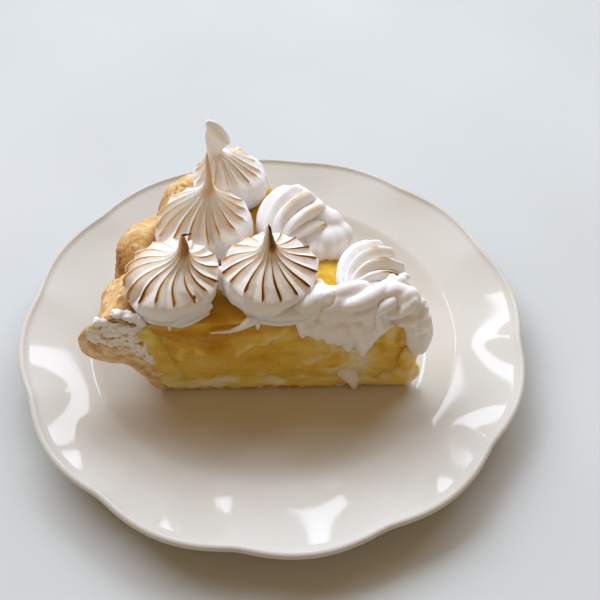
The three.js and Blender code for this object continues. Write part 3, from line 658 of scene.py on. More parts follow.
def kiss_line(name, shape):
    """The outline of a kiss as heights and radii in millimetres."""
    radius, height = shape["radius"], shape["height"]
    if "tilt" in shape:
        return bow(DOME * (height, radius), KISS_ROWS)
    body, tip = {"back_left": (TALL_BODY, TALL_SPIRE), "rear": (REAR_BODY, STUB)}.get(name, (BODY, SPIRE))
    spire = np.stack([mix(body[-1, 0] * radius, height, tip[:, 0]), tip[:, 1] * radius], -1)
    return bow(np.concatenate([body * radius, spire]), KISS_ROWS)


def kiss_net(name, shape, seed):
    """The skin of a kiss, with how toasted each place on it is, painted shade on the ridges' side away from
    the lamp included.
    """
    random = np.random.default_rng(seed)
    up, across, aside = kiss_axis(shape)
    radius, pushed = shape["radius"], "tilt" in shape
    line = kiss_line(name, shape)
    height, wide = line[:, 0, None], line[:, 1, None]
    rise, level = height / shape["height"], height / radius
    centre = np.array([shape["x"], shape["y"], KISS_FOOT + shape.get("lift", 0)])
    centre = centre + (height - shape.get("back", 0)) * up
    centre = centre + ease(rise, 0.25, 0.8) * np.array([*shape["lean"], 0])
    if name == "front_left":
        centre = centre + ease(rise, 0.93, 1.0) * np.array([3.4, 0, -0.9])
    number = np.repeat(np.arange(FLUTES), len(FLUTE_COLUMNS))[None, :]
    phase = np.tile(FLUTE_COLUMNS, FLUTES)[None, :]
    stray = random.uniform(-0.13, 0.13, FLUTES)[number]
    depths = random.uniform(0.85, 1.2, FLUTES)[number]
    ends = random.uniform(-0.05, 0.05, FLUTES)[number]
    near_ridge = 1 - np.abs(2 * phase)
    meander = 0.04 * np.sin(level * 5 + number * 2.4) * near_ridge
    inward = 1 - wide / radius
    bowed = np.radians(shape["swing"]) * np.sin(np.pi * np.clip(inward, 0, 1))
    flutes = number + phase + stray * near_ridge + meander
    angle = 2 * np.pi * flutes / FLUTES + math.radians(shape["first"]) + bowed * (level > 0.4)
    direction = np.cos(angle)[..., None] * across + np.sin(angle)[..., None] * aside
    ring = shape["ring"] + ends - shape["drop"] * ease(np.cos(angle - math.radians(190)), 0.5, 1)
    if pushed:
        pole = unit(np.array(shape["ribs_to"]))
        first_way = unit(np.cross(pole, [0, 0, 1]))
        spoke = centre[:, None, :] + direction * wide[..., None] - centre[KISS_ROWS // 3]
        to_pole = spoke @ pole
        turned = np.arctan2(spoke @ np.cross(pole, first_way), spoke @ first_way)
        turned = turned + np.radians(shape["ribs_from"]) + np.radians(shape["twist"]) * to_pole / radius
        turned = turned * shape["ribs"] / (2 * np.pi) + 0.12 * lumps(spoke, 11, seed + 5)
        rib = np.rint(turned)
        phase = turned - rib
        near_pole = to_pole / np.linalg.norm(spoke, axis=-1)
        valley = np.clip(2 * np.abs(phase), 0, 1) ** 1.5
        depths = 0.85 + 0.25 * np.sin(rib * 2.1) ** 2
        depth = PUSHED_DEPTH * ease(np.abs(near_pole), 0.99, 0.8)
        depth = depth * ease(level, ring - 0.26, ring + 0.1) * depths
        tooth = 0
    else:
        cut_in = np.sqrt(phase ** 2 + 0.02 ** 2) - 0.02
        valley = np.clip(2 * cut_in, 0, 1) ** 0.55
        depth = FLUTE_DEPTH * (0.1 + 0.9 * ease(level, ring - 0.13, ring + 0.1)) * depths
        tooth = 0.035 * radius * bell(level - ring - 0.02, 0.05) * bell(phase, 0.07)
    reach = wide * (1 - depth * valley) + tooth
    body = centre[:, None, :] + direction * reach[..., None]
    foot_share = 1 - ease(level, ring - 0.2, ring)
    reach = reach + 1.1 * lumps(body, (7.5, 7.5, 6), seed) * foot_share + 0.14 * lumps(body, 2.6, seed + 1)
    band = bell(level - 0.3, 0.09) * ease(lumps(body, (9, 9, 3), seed + 3), 0, 0.5)
    reach = reach + 1.1 * foot_share * band
    # It stops short of the kisses next to it, and an upright one of the crust's rim
    for other in KISSES.values():
        between = np.array([other["x"] - shape["x"], other["y"] - shape["y"], 0.0])
        apart = np.linalg.norm(between)
        if apart == 0 or apart > radius + other["radius"] + GAP:
            continue
        between /= apart
        own = apart * radius / (radius + other["radius"]) + GAP
        to_wall = direction @ between
        room = (np.array([shape["x"], shape["y"], 0]) @ between + own - centre @ between)[:, None]
        limit = np.where(to_wall > 0.02, room / np.maximum(to_wall, 0.02), 1e3)
        reach = soft_least(reach, limit, 1.1)
    if not pushed:
        out = centre[:, :2] - PIE_CENTRE
        ahead = direction[..., 0] * out[:, 0, None] + direction[..., 1] * out[:, 1, None]
        under = ahead ** 2 + rim_at(centre[:, 2])[:, None] ** 2 - (out ** 2).sum(-1)[:, None]
        limit = np.sqrt(np.maximum(under, 0)) - ahead
        low = centre[:, 2, None] <= CREST_HEIGHT + KNOB_LIFT + GAP
        reach = np.where(low, soft_least(reach, limit, 0.8), reach)
    reach = np.maximum(reach, LEAST_REACH)
    net = centre[:, None, :] + direction * reach[..., None]
    if name == "rear":
        middle, half_wide, half_deep = (np.interp(height, FLAKE[:, 0], FLAKE[:, k]) for k in (1, 2, 3))
        fold = 1 + 0.12 * np.sin(3 * angle + height * 0.4)
        flake = np.stack([middle + half_wide * fold * np.cos(angle),
                          shape["y"] + half_deep * fold * np.sin(angle), net[..., 2]], -1)
        net = mix(net, flake, ease(height, 20, 22.5)[..., None])
    # Toasting and painted shade: a dark line on the side of each ridge away from the lamp, and a tan border
    # beside it that runs on into the valley on that side. Both are heavier on the ridges that face away from
    # the lamp.
    # The spire is browned more on its right side. All of these are partly real toasting and partly painted
    # shade.
    flame = np.radians(SHADE_SIDE_BEARING)
    faces_shade_side = np.cos(angle - flame)
    side = np.sign(np.sin(flame - angle)) * np.clip(np.abs(np.sin(flame - angle)) * 3, 0, 1)
    off_line = (phase - 0.035 * side) * np.where(side > 0, 1, -1)
    shade_side_share = 0.72 + 0.28 * faces_shade_side
    heat_and_shade = random.uniform(0.72, 1.14, FLUTES)[number] * shade_side_share
    width = 0.05 + 0.03 * ease(shade_side_share, 0.6, 1)
    on_line = bell(off_line, width)
    # beside is the tan border. It runs long on the side away from the lamp, where it is partly painted shade.
    beside = np.where(off_line > 0, np.exp(-off_line / 0.2), np.exp(off_line / 0.06))
    along = ease(level, ring - 0.05, ring + 0.02) * (1 - 0.6 * ease(inward, 0.35, 0.85))
    browned = shape["browned"]
    if pushed:
        # On a pushed kiss a brown band runs just under each rib, on the right side away from the ribs' pole.
        # It is partly toasting and partly painted shade under the rib.
        under = bell(phase - 0.07, 0.07) + 0.45 * np.exp(-np.abs(phase - 0.04) / 0.15)
        sunlit = ease(-near_pole, -0.7, -0.1) * ease(direction[..., 0], -0.3, 0.3)
        toast_and_shade = browned * (0.6 + 0.5 * np.sin(rib * 1.7 + 1) ** 2) * under * sunlit
        if name == "point":
            speck = unit(spoke) - [0.16, -0.86, 0.48]
            toast_and_shade = np.maximum(toast_and_shade, 0.9 * bell(np.linalg.norm(speck, axis=-1), 0.05, 4))
        to_cut = -((net[..., :2] - PIE_CENTRE) @ OFF_BACK[:2])
        return net, toast_and_shade * ease(to_cut, 0.2, 2) + 0.02 * lumps(net, 3, seed + 2)
    toast_and_shade = browned * (on_line + 0.42 * beside) * along * heat_and_shade + shape["tan"] * ease(level, ring - 0.3, ring)
    # The spire browns more on its right side, away from the lamp, and front_middle's burnt tip reaches lower
    # on that side. This is partly real burning and partly painted shade.
    neck = 1.12 if name != "back_left" else 1.2
    spire_toast_and_shade = 0.62 + 0.38 * np.cos(angle + 0.3)
    if name == "front_middle":
        spire_toast_and_shade = ease(np.cos(angle), -0.45, 0.5)
    toast_and_shade = np.maximum(toast_and_shade, shape["spire"] * ease(level, neck, neck + 0.3) * spire_toast_and_shade)
    burnt = {"front_left": (0.93, 0.96), "front_middle": (0.8, 0.97)}.get(name)
    if burnt:
        lower_on_shaded_side = 0.14 * (np.cos(angle) - 0.6) * (name == "front_middle")
        toast_and_shade = np.maximum(toast_and_shade, ease(rise + lower_on_shaded_side, *burnt))
    if name == "front_left":
        speck = np.linalg.norm(net - [-26.6, -28.6, 60.4], axis=-1)
        toast_and_shade = np.maximum(toast_and_shade, 0.95 * bell(speck, 0.9, 4))
    if name == "rear":
        toast_and_shade = mix(toast_and_shade, 0.01, ease(height, 21, 25))
    return net, toast_and_shade + 0.03 * lumps(net, 3, seed + 2)


# Torched meringue: a close white foam with a satin skin that glows a little through, going cream, tan and
# at last charcoal where the flame caught the ridges. The same ramp also paints shade on the kisses' ridges,
# on their side away from the lamp. Its bubbles are drawn 0.8 mm across so that they show.
meringue, tree, place = start("torched_meringue")
# The value read here holds the toasting, and on the kisses also painted shade beside and under their ridges.
toast_and_shade_value = add(tree, "Attribute", attribute_name="toast_and_shade")
flame = add(tree, "TexNoise", {"Vector": place, "Scale": 330.0, "Detail": 3.0, "Roughness": 0.6})
flame_share = add(tree, "MapRange", {"Value": flame, "To Min": 0.72, "To Max": 1.28})
toast_sum = add(tree, "Math", {0: toast_and_shade_value.outputs["Fac"], 1: flame_share}, operation="MULTIPLY")
toast_tint = add(tree, "ValToRGB", {"Fac": toast_sum}, stops=[
    (0.0, "F3EEE8"), (0.1, "EDE1CF"), (0.24, "E2C290"), (0.42, "B67E40"),
    (0.62, "70421A"), (0.82, "34190A"), (1.0, "120A06"),
])
foam = add(tree, "TexNoise", {"Vector": place, "Scale": 1200.0, "Detail": 2.0})
soft_swell = add(tree, "TexNoise", {"Vector": place, "Scale": 240.0, "Detail": 3.0})
foam_relief = add(tree, "Bump", {"Height": foam, "Strength": 0.18, "Distance": 0.0004})
swell_relief = add(tree, "Bump", {
    "Height": soft_swell, "Strength": 0.25, "Distance": 0.0012, "Normal": foam_relief
})
satin = add(tree, "MapRange", {"Value": soft_swell, "To Min": 0.38, "To Max": 0.58})
shader = add(tree, "BsdfPrincipled", {
    "Base Color": toast_tint, "Roughness": satin, "IOR": 1.4,
    "Normal": swell_relief, "Subsurface Weight": 0.35,
    "Subsurface Radius": (0.003, 0.0022, 0.0016), "Subsurface Scale": 1.0,
})
add(tree, "OutputMaterial", {"Surface": shader})


def capped(net, values):
    """Closes a round net and the values on it with a point in the middle of each end."""
    ends = [net[0].mean(0), net[-1].mean(0)]
    shape = (1, net.shape[1], 3)
    whole = np.concatenate([np.broadcast_to(ends[0], shape), net, np.broadcast_to(ends[1], shape)])
    return whole, np.concatenate([values[:1], values, values[-1:]])


def closed(net):
    """A round net without values, closed and ready to build."""
    return capped(net, net[..., 0])[0], True


def globe(along, out, up, pole, rows, columns):
    """A net round the origin with three half-widths, from pole to pole. pole is 0.5 where it closes."""
    turn = np.linspace(0, 2 * np.pi, columns, endpoint=False)[None, :]
    rise = np.linspace(-pole * np.pi, pole * np.pi, rows)[:, None]
    return np.cos(rise) * np.cos(turn) * along, np.cos(rise) * np.sin(turn) * out, up * np.sin(rise)


def trim(piece, point, away):
    """Cuts off what lies beyond a plane and closes the cut."""
    shape = bmesh.new()
    shape.from_mesh(piece.data)
    everything = [*shape.verts, *shape.edges, *shape.faces]
    cut = bmesh.ops.bisect_plane(
        shape, geom=everything, plane_co=Vector(point) * MM, plane_no=Vector(away), clear_outer=True,
    )
    edges = [item for item in cut["geom_cut"] if isinstance(item, bmesh.types.BMEdge)]
    bmesh.ops.holes_fill(shape, edges=edges)
    shape.to_mesh(piece.data)
    shape.free()


def cut_edge(travelled):
    """Where the cut edge is after a length travelled round the point, and which way is out from it."""
    bend_share = ease(travelled, -4, 4)
    normal = np.radians(FRONT_CUT + 90 + (180 - (FRONT_CUT - BACK_CUT)) * bend_share)
    bearing = np.where(travelled < 0, FRONT_CUT, BACK_CUT)
    spot = pie_at(bearing, np.maximum(np.abs(travelled), POINT_RADIUS), 0.0)
    return spot, np.stack([np.cos(normal), np.sin(normal), 0 * normal], -1)


def edge_place(travelled, away, height):
    """The place at a length travelled along the cut edge, a distance out from it, and a height."""
    travelled, away, height = np.broadcast_arrays(*(np.asarray(v, float) for v in (travelled, away, height)))
    spot, out = cut_edge(travelled)
    place = spot + out * away[..., None]
    place[..., 2] = height
    return place


def stroke(points, radii, count=60, around=20):
    """A rounded roll along points, thicker or thinner from one to the next."""
    points = np.array(points, float)
    chord = np.concatenate([[0], np.cumsum(np.linalg.norm(np.diff(points, axis=0), axis=1))])
    even = np.linspace(0, chord[-1], count)
    line = line_at(even, chord, points)
    for _ in range(6):
        line[1:-1] = (line[:-2] + 2 * line[1:-1] + line[2:]) / 4
    wide = np.interp(even, chord, radii)
    from_end = np.minimum(even, chord[-1] - even)
    rounded = np.clip(from_end / np.maximum(wide, 1e-6), 0.0004, 1)
    wide = wide * np.sqrt(rounded * (2 - rounded))
    ahead = unit(np.gradient(line, axis=0))
    side = unit(np.cross(ahead, [0.13, 0.31, 0.94]))
    over = np.cross(ahead, side)
    turn = np.linspace(0, 2 * np.pi, around, endpoint=False)[None, :, None]
    return line[:, None] + wide[:, None, None] * (np.cos(turn) * side[:, None] + np.sin(turn) * over[:, None])


def draw(path, radii, **options):
    """A roll along stations on the cut edge: travelled, away, height."""
    path = np.array(path, float)
    return stroke(edge_place(path[:, 0], path[:, 1], path[:, 2]), radii, **options)


# What hangs from the two front kisses over the cut edge: lips of smeared foam, skirts under them, thin drips,
# a wisp, and the foam that bridges the gap between the two. Each has its half-thickness from end to end.
HANGING = {
    "front_left": [
        draw([(-92.2, 0.2, 49), (-92.5, 0.8, 46.4), (-92.7, 0.7, 44)], [1.6, 0.8, 0.4]),
        draw([(-104, -4.5, 50.4), (-99, -1.2, 48.8), (-94, 0.4, 48.6), (-88, 0.2, 47.8), (-83, -0.9, 48.6),
              (-78, -4, 49)], [1.6, 2.0, 1.5, 1.9, 1.4, 1.0]),
        draw([(-103, -7, 53), (-99, -4, 52.4), (-94, -1.9, 52), (-90, -1.4, 51.6)], [1.0, 1.7, 1.2, 0.4]),
        draw([(-88, -1.6, 50), (-82, -2.4, 50.4), (-77, -5, 51.5)], [1.6, 2.0, 1.2]),
        draw([(-105, -5, 52), (-99.6, -2.4, 51), (-94, -1.2, 50.6), (-87, -1.4, 50.6), (-81, -3, 51.4)],
             [1.6, 2.6, 3.0, 2.8, 1.8]),
    ],
    "front_middle": [
        draw([(-60.6, 0.2, 49), (-60.8, 0.9, 46), (-60.9, 0.7, 43.8)], [1.6, 0.8, 0.4]),
        draw([(-60, -0.6, 49.6), (-64, 0.6, 48), (-66.5, 1.1, 45.8), (-71, 0.9, 43.2), (-78.5, 0.5, 42)],
             [2.0, 1.8, 1.1, 0.7, 0.3], count=80),
        draw([(-73.6, -18, 58), (-73.4, -14.4, 55.6), (-73.2, -11, 52)], [2.8, 3.4, 2.4]),
        draw([(-65, -2.6, 50), (-59, -0.4, 48.6), (-53, 0.5, 48.2), (-49, 0.6, 49.4), (-44, 0.2, 50)],
             [1.4, 2.2, 2.0, 2.4, 2.2]),
        draw([(-65, -3.4, 50.6), (-57, -1.6, 50.4), (-49, -1.3, 51.4), (-43.4, -1, 52)],
             [2.0, 2.6, 2.8, 2.6]),
        draw([(-52, -2.6, 53.4), (-47.5, -2.8, 54), (-43.4, -3, 54.8)], [1.8, 2.4, 1.8]),
        draw([(-66, -3.4, 51), (-60, -1.6, 50.4), (-53, -0.8, 50.6), (-46.4, -0.6, 51.8), (-41, -1.2, 53)],
             [1.8, 2.8, 3.3, 3.5, 3.0]),
    ],
}
for seed, (name, shape) in enumerate(KISSES.items()):
    net, toast_and_shade = capped(*kiss_net(name, shape, 200 + 10 * seed))
    nets, values = [(net, True)], [toast_and_shade]
    if name == "back_middle":  # the tail that the knife drew out of it
        ball = np.stack(np.broadcast_arrays(*globe(9, 6, 7.4, 0.5, 48, 96)), -1)
        ahead = heading(BACK_CUT)
        spin = np.array([ahead, [-ahead[1], ahead[0], 0], [0, 0, 1]])
        drawn_out = ball @ spin + pie_at(BACK_CUT, 54, KISS_FOOT)
        drawn_out = drawn_out + outward(drawn_out, True) * (0.5 * lumps(drawn_out, 4, 301))[..., None]
        nets.append((drawn_out, True))
        values.append(np.zeros(drawn_out.shape[:2]))
    for net in HANGING.get(name, []):
        nets.append(closed(net))
        values.append(np.full((len(net) + 2, net.shape[1]), 0.02))
    kiss = build("kiss_" + name, nets, meringue, {"toast_and_shade": values})
    if "tilt" in shape:
        trim(kiss, (0, 0, KISS_FOOT), (0, 0, -1))
        trim(kiss, [*PIE_CENTRE, 0] + KNIFE_MARGIN * OFF_BACK, OFF_BACK)
    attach(kiss, "root")
    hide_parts("meringue_kiss_" + name)

# --------------------
# Dragged meringue: the knife pulled soft foam over the cut edge and round the point of the slice, where it
# hangs in folds and lumps. It was one mass, so its strokes are kneaded together before it is finished.

# Stations along the cut edge: crest height, how far it hangs, how far in it lies and how thick it is
DRAG = np.array([
    (-46, 52, 42.5, 4, 1.6), (-41, 56, 40.5, 9, 2.6), (-34, 57.5, 38, 12, 3.4), (-27, 57, 35.5, 11, 3.4),
    (-20, 59, 31, 9, 3.4), (-15.5, 61, 41, 8, 3), (-12, 63, 46, 8, 3), (-8, 63, 45.5, 7, 3),
    (-4, 58.5, 34, 5, 4.2), (0, 56, 27, 3, 6), (6, 54, 28, 3, 6), (13, 53, 33, 4, 4.5), (20, 51, 40, 4, 2),
])
POINT_SHARE = 0.45  # how far in it lies at most, as a share of the way to the point


def drag_band():
    """The band of foam that lies over the cut edge, under the folds."""
    travelled = np.linspace(DRAG[0, 0], DRAG[-1, 0], 160)
    after = np.clip(np.searchsorted(DRAG[:, 0], travelled), 1, len(DRAG) - 1)
    share = ease((travelled - DRAG[after - 1, 0]) / (DRAG[after, 0] - DRAG[after - 1, 0]), 0, 1)[:, None]
    crest, hang, inward, thick = mix(DRAG[after - 1, 1:], DRAG[after, 1:], share).T
    inward = np.minimum(inward, POINT_SHARE * np.maximum(np.abs(travelled), POINT_RADIUS))
    top = KISS_FOOT
    rows = []
    for index, at in enumerate(travelled):
        c, h, i, th = crest[index], hang[index], inward[index], thick[index]
        outer = bow([
            (-i - 0.6, top + 1), (-i * 0.95, mix(top, c, 0.7)), (-i * 0.6, c), (-i * 0.2, c - 0.4),
            (th * 0.3, mix(c, top, 0.4)), (th * 0.62, top), (th, mix(top, h, 0.42)),
            (th * 0.88, mix(top, h, 0.8)), (GAP + 0.8, h - 0.8),
        ], 44)
        inner = np.array([
            (-0.6, h), (-0.6, mix(top, h, 0.5)), (-0.6, top - 0.6), (-i * 0.5, top - 0.6), (-i, top - 0.6),
        ])
        ring = np.concatenate([outer, inner])
        rows.append(edge_place(at, ring[:, 0], ring[:, 1]))
    return np.array(rows)


def knead(name, nets, finish, grain_size, soften):
    """Joins closed nets into one skin, as finely as grain_size, and smooths it some times over."""
    piece = build(name, [closed(net) for net in nets], finish)
    remesh = piece.modifiers.new("knead", "REMESH")
    remesh.mode, remesh.voxel_size, remesh.use_smooth_shade = "VOXEL", grain_size * MM, True
    relax = piece.modifiers.new("soften", "SMOOTH")
    relax.factor, relax.iterations = 0.5, soften
    shown = bpy.data.meshes.new_from_object(piece.evaluated_get(bpy.context.evaluated_depsgraph_get()))
    piece.modifiers.clear()
    piece.data = shown
    shown.name = name
    return piece


def read(piece):
    """The points of a piece in millimetres, and its normals."""
    mesh = piece.data
    points, normals = np.zeros(len(mesh.vertices) * 3), np.zeros(len(mesh.vertices) * 3)
    mesh.vertices.foreach_get("co", points)
    mesh.vertex_normals.foreach_get("vector", normals)
    return points.reshape(-1, 3) / MM, normals.reshape(-1, 3)


def write(piece, points, marks):
    """Gives a piece new points, and a value at each for each named mark."""
    mesh = piece.data
    mesh.vertices.foreach_set("co", (points * MM).ravel())
    for mark, values in marks.items():
        layer = mesh.attributes.new(mark, "FLOAT", "POINT")
        layer.data.foreach_set("value", values.astype(np.float32))
    mesh.update()
    mesh.shade_smooth()


# Folds: travelled, away and height along each stroke, and its half-thickness
FOLDS = [
    ([(-38.4, -14, 54.4), (-37.8, -10, 54.6), (-38.4, -6.6, 55.4), (-40, -3.6, 55.6)], [1.4, 2.6, 3.0, 2.8]),
    ([(-49, -0.6, 51.6), (-44.5, -1.2, 53.8), (-40, -3.6, 55.6), (-36, -5.4, 56.2)], [2.4, 3.2, 3.0, 1.8]),
    ([(-38, -3.6, 56), (-32, -5.4, 56.4), (-26, -6.6, 57.2), (-20, -7, 58.2)], [2.0, 2.6, 2.6, 2.0]),
    ([(-34.5, -2.4, 51.6), (-29, -0.8, 54.4), (-24.4, -0.2, 56.4), (-20, -1.4, 58), (-16, -4.2, 59.6),
      (-11.4, -9.4, 60.8)], [0.8, 1.8, 2.6, 2.9, 2.5, 1.1]),
    ([(-30, 0.4, 48), (-26, 1.7, 50.8), (-21, 2.2, 53.4), (-16, 1.6, 56), (-12.4, 0.6, 58),
      (-9.2, -2.6, 60.6)], [0.6, 1.2, 1.8, 2.1, 2.3, 2.0]),
    ([(-14, -3, 60), (-10, -6, 61.5), (-7, -9, 60.6)], [1.2, 1.9, 1.4]),
    ([(-45.5, 0.8, 51), (-45, 1.4, 44), (-44.2, 0.8, 38.8)], [2.2, 1.5, 0.6]),
    ([(-39.6, 1.0, 50), (-39, 0.9, 38.4)], [2.6, 1.7]),
    ([(-34.4, 1.2, 44), (-34.6, 0.7, 35.6)], [2.8, 1.6]),
    ([(-31, 1.4, 48), (-31, 0.8, 34.6)], [2.8, 1.6]),
    ([(-27.8, 1.2, 42), (-27, 0.6, 31)], [2.6, 1.7]),
    ([(-26, 2.4, 49), (-23.4, 2.6, 40), (-22, 1.6, 33), (-21, 0.5, 27)], [2.4, 2.4, 2.2, 1.2]),
    ([(-18.5, 2.4, 53), (-17, 2.8, 48), (-17.4, 2.4, 42)], [1.4, 1.2, 0.5]),
    ([(-14.5, 2.6, 52), (-11, 3.2, 54), (-7.5, 3.0, 58), (-5, 1.6, 61)], [1.4, 2.0, 2.0, 1.2]),
    ([(-11, 2.6, 49), (-6, 3.8, 50.5), (-2, 4.2, 54)], [1.4, 2.0, 1.6]),
    ([(-5, 1.6, 37), (-1, 2.6, 33), (4, 2.0, 29.4)], [1.4, 2.2, 1.4]),
    ([(-7, 1.6, 47.6), (-3, 3.0, 45), (1.5, 2.6, 44)], [1.6, 2.4, 1.6]),
]
# Rounded lumps at the point: travelled, away, height, and half-widths along, out and up
LUMPS = [
    (-7.4, -0.6, 56.4, 4.4, 4.0, 6.4), (-3.4, 1.0, 53.4, 3.4, 3.2, 5.4), (-1.6, 2.0, 47.6, 4.4, 3.2, 4.6),
    (1.0, 1.6, 39.6, 4.8, 3.4, 5.2), (1.8, 1.8, 32.6, 4.4, 3.4, 6.0), (7, 0.6, 45, 5, 3.0, 7),
    (12, 0.2, 47, 5, 2.4, 5),
]


def lump(travelled, away, height, along, out, up):
    """A rounded lump at a place on the cut edge."""
    side, over, lifted = globe(along, out, up, 0.497, 30, 48)
    spot, way = cut_edge(np.array([travelled]))
    flat = np.array([way[0, 1], -way[0, 0], 0])
    place = spot[0] + way[0] * away + side[..., None] * flat + over[..., None] * way[0]
    place[..., 2] = height + lifted
    return place


bodies = [drag_band()]
bodies += [draw(path, radii) for path, radii in FOLDS]
bodies += [lump(*sizes) for sizes in LUMPS]
smear = knead("dragged_meringue", bodies, meringue, grain_size=0.44, soften=12)
points, normals = read(smear)
drawn = points + 2.5 * lumps(points, 9, 403)[:, None] * np.array([1, 0, 0.6])
crease = np.abs(lumps(drawn, (8, 8, 26), 401))
sheet = ease(points[:, 2], 40, 54)
push = 0.3 - mix(0.35, 0.9, sheet) * bell(crease, 0.1, 1.2)
push = push + mix(0.3, 0.4, sheet) * lumps(drawn, (8, 8, 18), 409) + 0.06 * lumps(points, 2.4, 419)
tip = np.linalg.norm(points - edge_place(-10.4, -13, 60.9), axis=1)
write(smear, points + normals * push[:, None], {
    "toast_and_shade": 0.01 + 0.02 * lumps(points, 5, 421) + 0.34 * bell(tip, 2.4),
})
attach(smear, "root")
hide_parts("meringue_smear")

# --------------------
# Wiped meringue: the same stroke of the knife wiped foam off on the cut end of the crust, thin and torn, with
# clots and pastry crumbs in it, and a drip of it fell on the edge of the base.

# Where it lies: distance from the middle of the pie, height, half-widths and strength
WIPED = [
    (110, 49, 6.5, 2.6, 1.5), (115, 43, 8, 3.4, 1.3), (106, 44, 3.4, 5.5, 1.1), (113, 37.5, 7, 2.6, 1.1),
    (105, 33, 4, 4, 1.2), (101, 25, 2.6, 5.5, 1.0), (121, 40, 3, 2, 0.8), (98.5, 17, 2, 3.5, 0.7),
    (90, 28, 1.6, 4.2, 0.75), (88, 22, 2.4, 1.6, 0.6),
]
SMALL_CLOTS = 22
WALL_FROM = 55  # the first row of the cut lines that lies on the wall, over the base
END_ROWS, END_COLUMNS, CURD_COLUMNS = 200, 90, 24
ONTO_CURD = 9  # how far the sheets on the cut end reach over the curd
SUNK = -1.4  # how deep in the cut a sheet lies where it isn't to show
# Clots of foam: travelled, away, height, and half-widths along, out and up
CLOTS = [
    (-107, -1.0, 50.6, 3.0, 2.0, 1.6), (-111, -1.4, 51.4, 2.4, 2.0, 1.4), (-104, -1.6, 48.6, 2.4, 2.4, 2.0),
    (-115.4, -0.4, 48.6, 2.2, 1.3, 1.2), (-120, -0.4, 43.6, 2.6, 1.4, 1.3),
    (-116.6, 0.2, 42.6, 2.2, 1.2, 1.0), (-110, 0.3, 46.6, 2.0, 1.3, 1.2), (-106, 0.2, 43, 1.6, 1.3, 1.8),
]

# The cut end of the crust as one net, and a strip of the curd beside it
outer, inner = (line[WALL_FROM:] for line in cut_lines[0])
cut_end = mix(outer[:, None], inner[:, None], np.linspace(0.03, 1, END_COLUMNS)[None, :, None])
over_curd = mix(0.02, 1, ease(cut_end[:, -1:, 2:], FILLING_TOP + 0.6, FILLING_TOP - 1.2))
along_cut = pie_at(FRONT_CUT, -ONTO_CURD, 0) - pie_at(FRONT_CUT, 0, 0)
on_curd = over_curd * np.linspace(0.05, 1, CURD_COLUMNS)[None, :, None] * along_cut
cut_end = np.concatenate([cut_end, cut_end[:, -1:] + on_curd], axis=1)
every, stops = np.linspace(0, 1, END_ROWS), np.linspace(0, 1, len(outer))
cut_end = np.stack([line_at(every, stops, column) for column in cut_end.transpose(1, 0, 2)], 1)
border = taper(END_ROWS, 4)[:, None]


def end_sheet(thick):
    """A thin closed sheet on the cut end. thick is below 0 where the cut shows."""
    front = cut_end + mix(SUNK, thick, border)[..., None] * OFF_FRONT
    return np.concatenate([front, (cut_end - 1.8 * OFF_FRONT)[::-1]])


distance, height = from_centre(cut_end), cut_end[..., 2]
flat = np.stack([distance, height, 0 * height], -1)
amount = patches(distance + 1.6 * lumps(flat, 5, 441), height + 1.4 * lumps(flat, 4, 443), WIPED)
ragged = 0.55 * rough(flat, (4.6, 2.6, 3), 445) + 0.2 * lumps(flat, 1.1, 447)
bodies = [end_sheet(np.clip(2.3 * amount - 1.2 + 1.1 * ragged, SUNK, 1.3 + 1.2 * ragged))]
drip = [(-31, -2.9, 14.6), (-26, -1.7, 13.6), (-23.8, -0.5, 10.2), (-22.9, 1, 5)]
bodies += [draw(drip, [2.4, 3.9, 3.1, 0.8])]
bodies += [lump(*sizes) for sizes in CLOTS]
random = np.random.default_rng(433)
for _ in range(SMALL_CLOTS):
    place = -random.uniform(102, 119), random.uniform(-0.4, 0.6), random.uniform(40, 50)
    bodies.append(lump(*place, *random.uniform(0.8, 1.7, 3)))
wiped = knead("wiped_meringue", bodies, meringue, grain_size=0.39, soften=2)
points, normals = read(wiped)
distance = from_centre(points)
bumps = 0.65 * rough(points, (2.6, 2.6, 1.8), 441) + 0.25 * lumps(points, 1.3, 443)
points = points + normals * (bumps * ease(points[:, 2], 26, 36))[:, None]
crumbs = 0.4 * ease(lumps(points, (2.6, 2.6, 1.8), 449), 0.15, 0.45)
crumbs = crumbs * (1 - ease(points[:, 2], 40, 47)) * ease(distance, 50, 80)
write(wiped, points, {"toast_and_shade": 0.01 + 0.03 * lumps(points, 6, 437) + crumbs})
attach(wiped, "root")

# --------------------
# Slumped meringue: soft foam that sagged off the pushed kiss in the middle and lies between it and the kisses
# next to it. It ran together, so its lumps are kneaded into one and smoothed much.

# Lumps: the middle and the half-widths
SLUMPED = [
    (19.5, 19, 52, 6.5, 7, 7), (20.5, 12.5, 50, 7, 7, 6), (16.5, 8.4, 48.6, 6, 5.5, 4.6),
    (23, 9.4, 48.4, 6.0, 5, 4.4), (15, 13.5, 50.5, 6, 6, 6), (24, 16, 49.6, 5, 6, 5),
]

bodies = []
for sizes in SLUMPED:
    body = lump(0, 0, 0, *sizes[3:])
    bodies.append(body - body.mean((0, 1)) + sizes[:3])
slumped = knead("slumped_meringue", bodies, meringue, grain_size=0.5, soften=24)
points, normals = read(slumped)
crease = np.abs(lumps(points, (7, 20, 20), 463))
push = 0.9 - 0.8 * bell(crease, 0.2, 1.3) + 0.5 * lumps(points, (7, 9, 9), 465)
points = points + normals * push[:, None]
points[:, 2] = np.maximum(points[:, 2], FILLING_TOP - 0.6)
write(slumped, points, {"toast_and_shade": 0.01 + 0.02 * lumps(points, 5, 467)})
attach(slumped, "root")

# --------------------
# Smeared custard: curd that the knife drew out over its joint with the crust and down over the edge of the
# base, and that bulges out round the point.

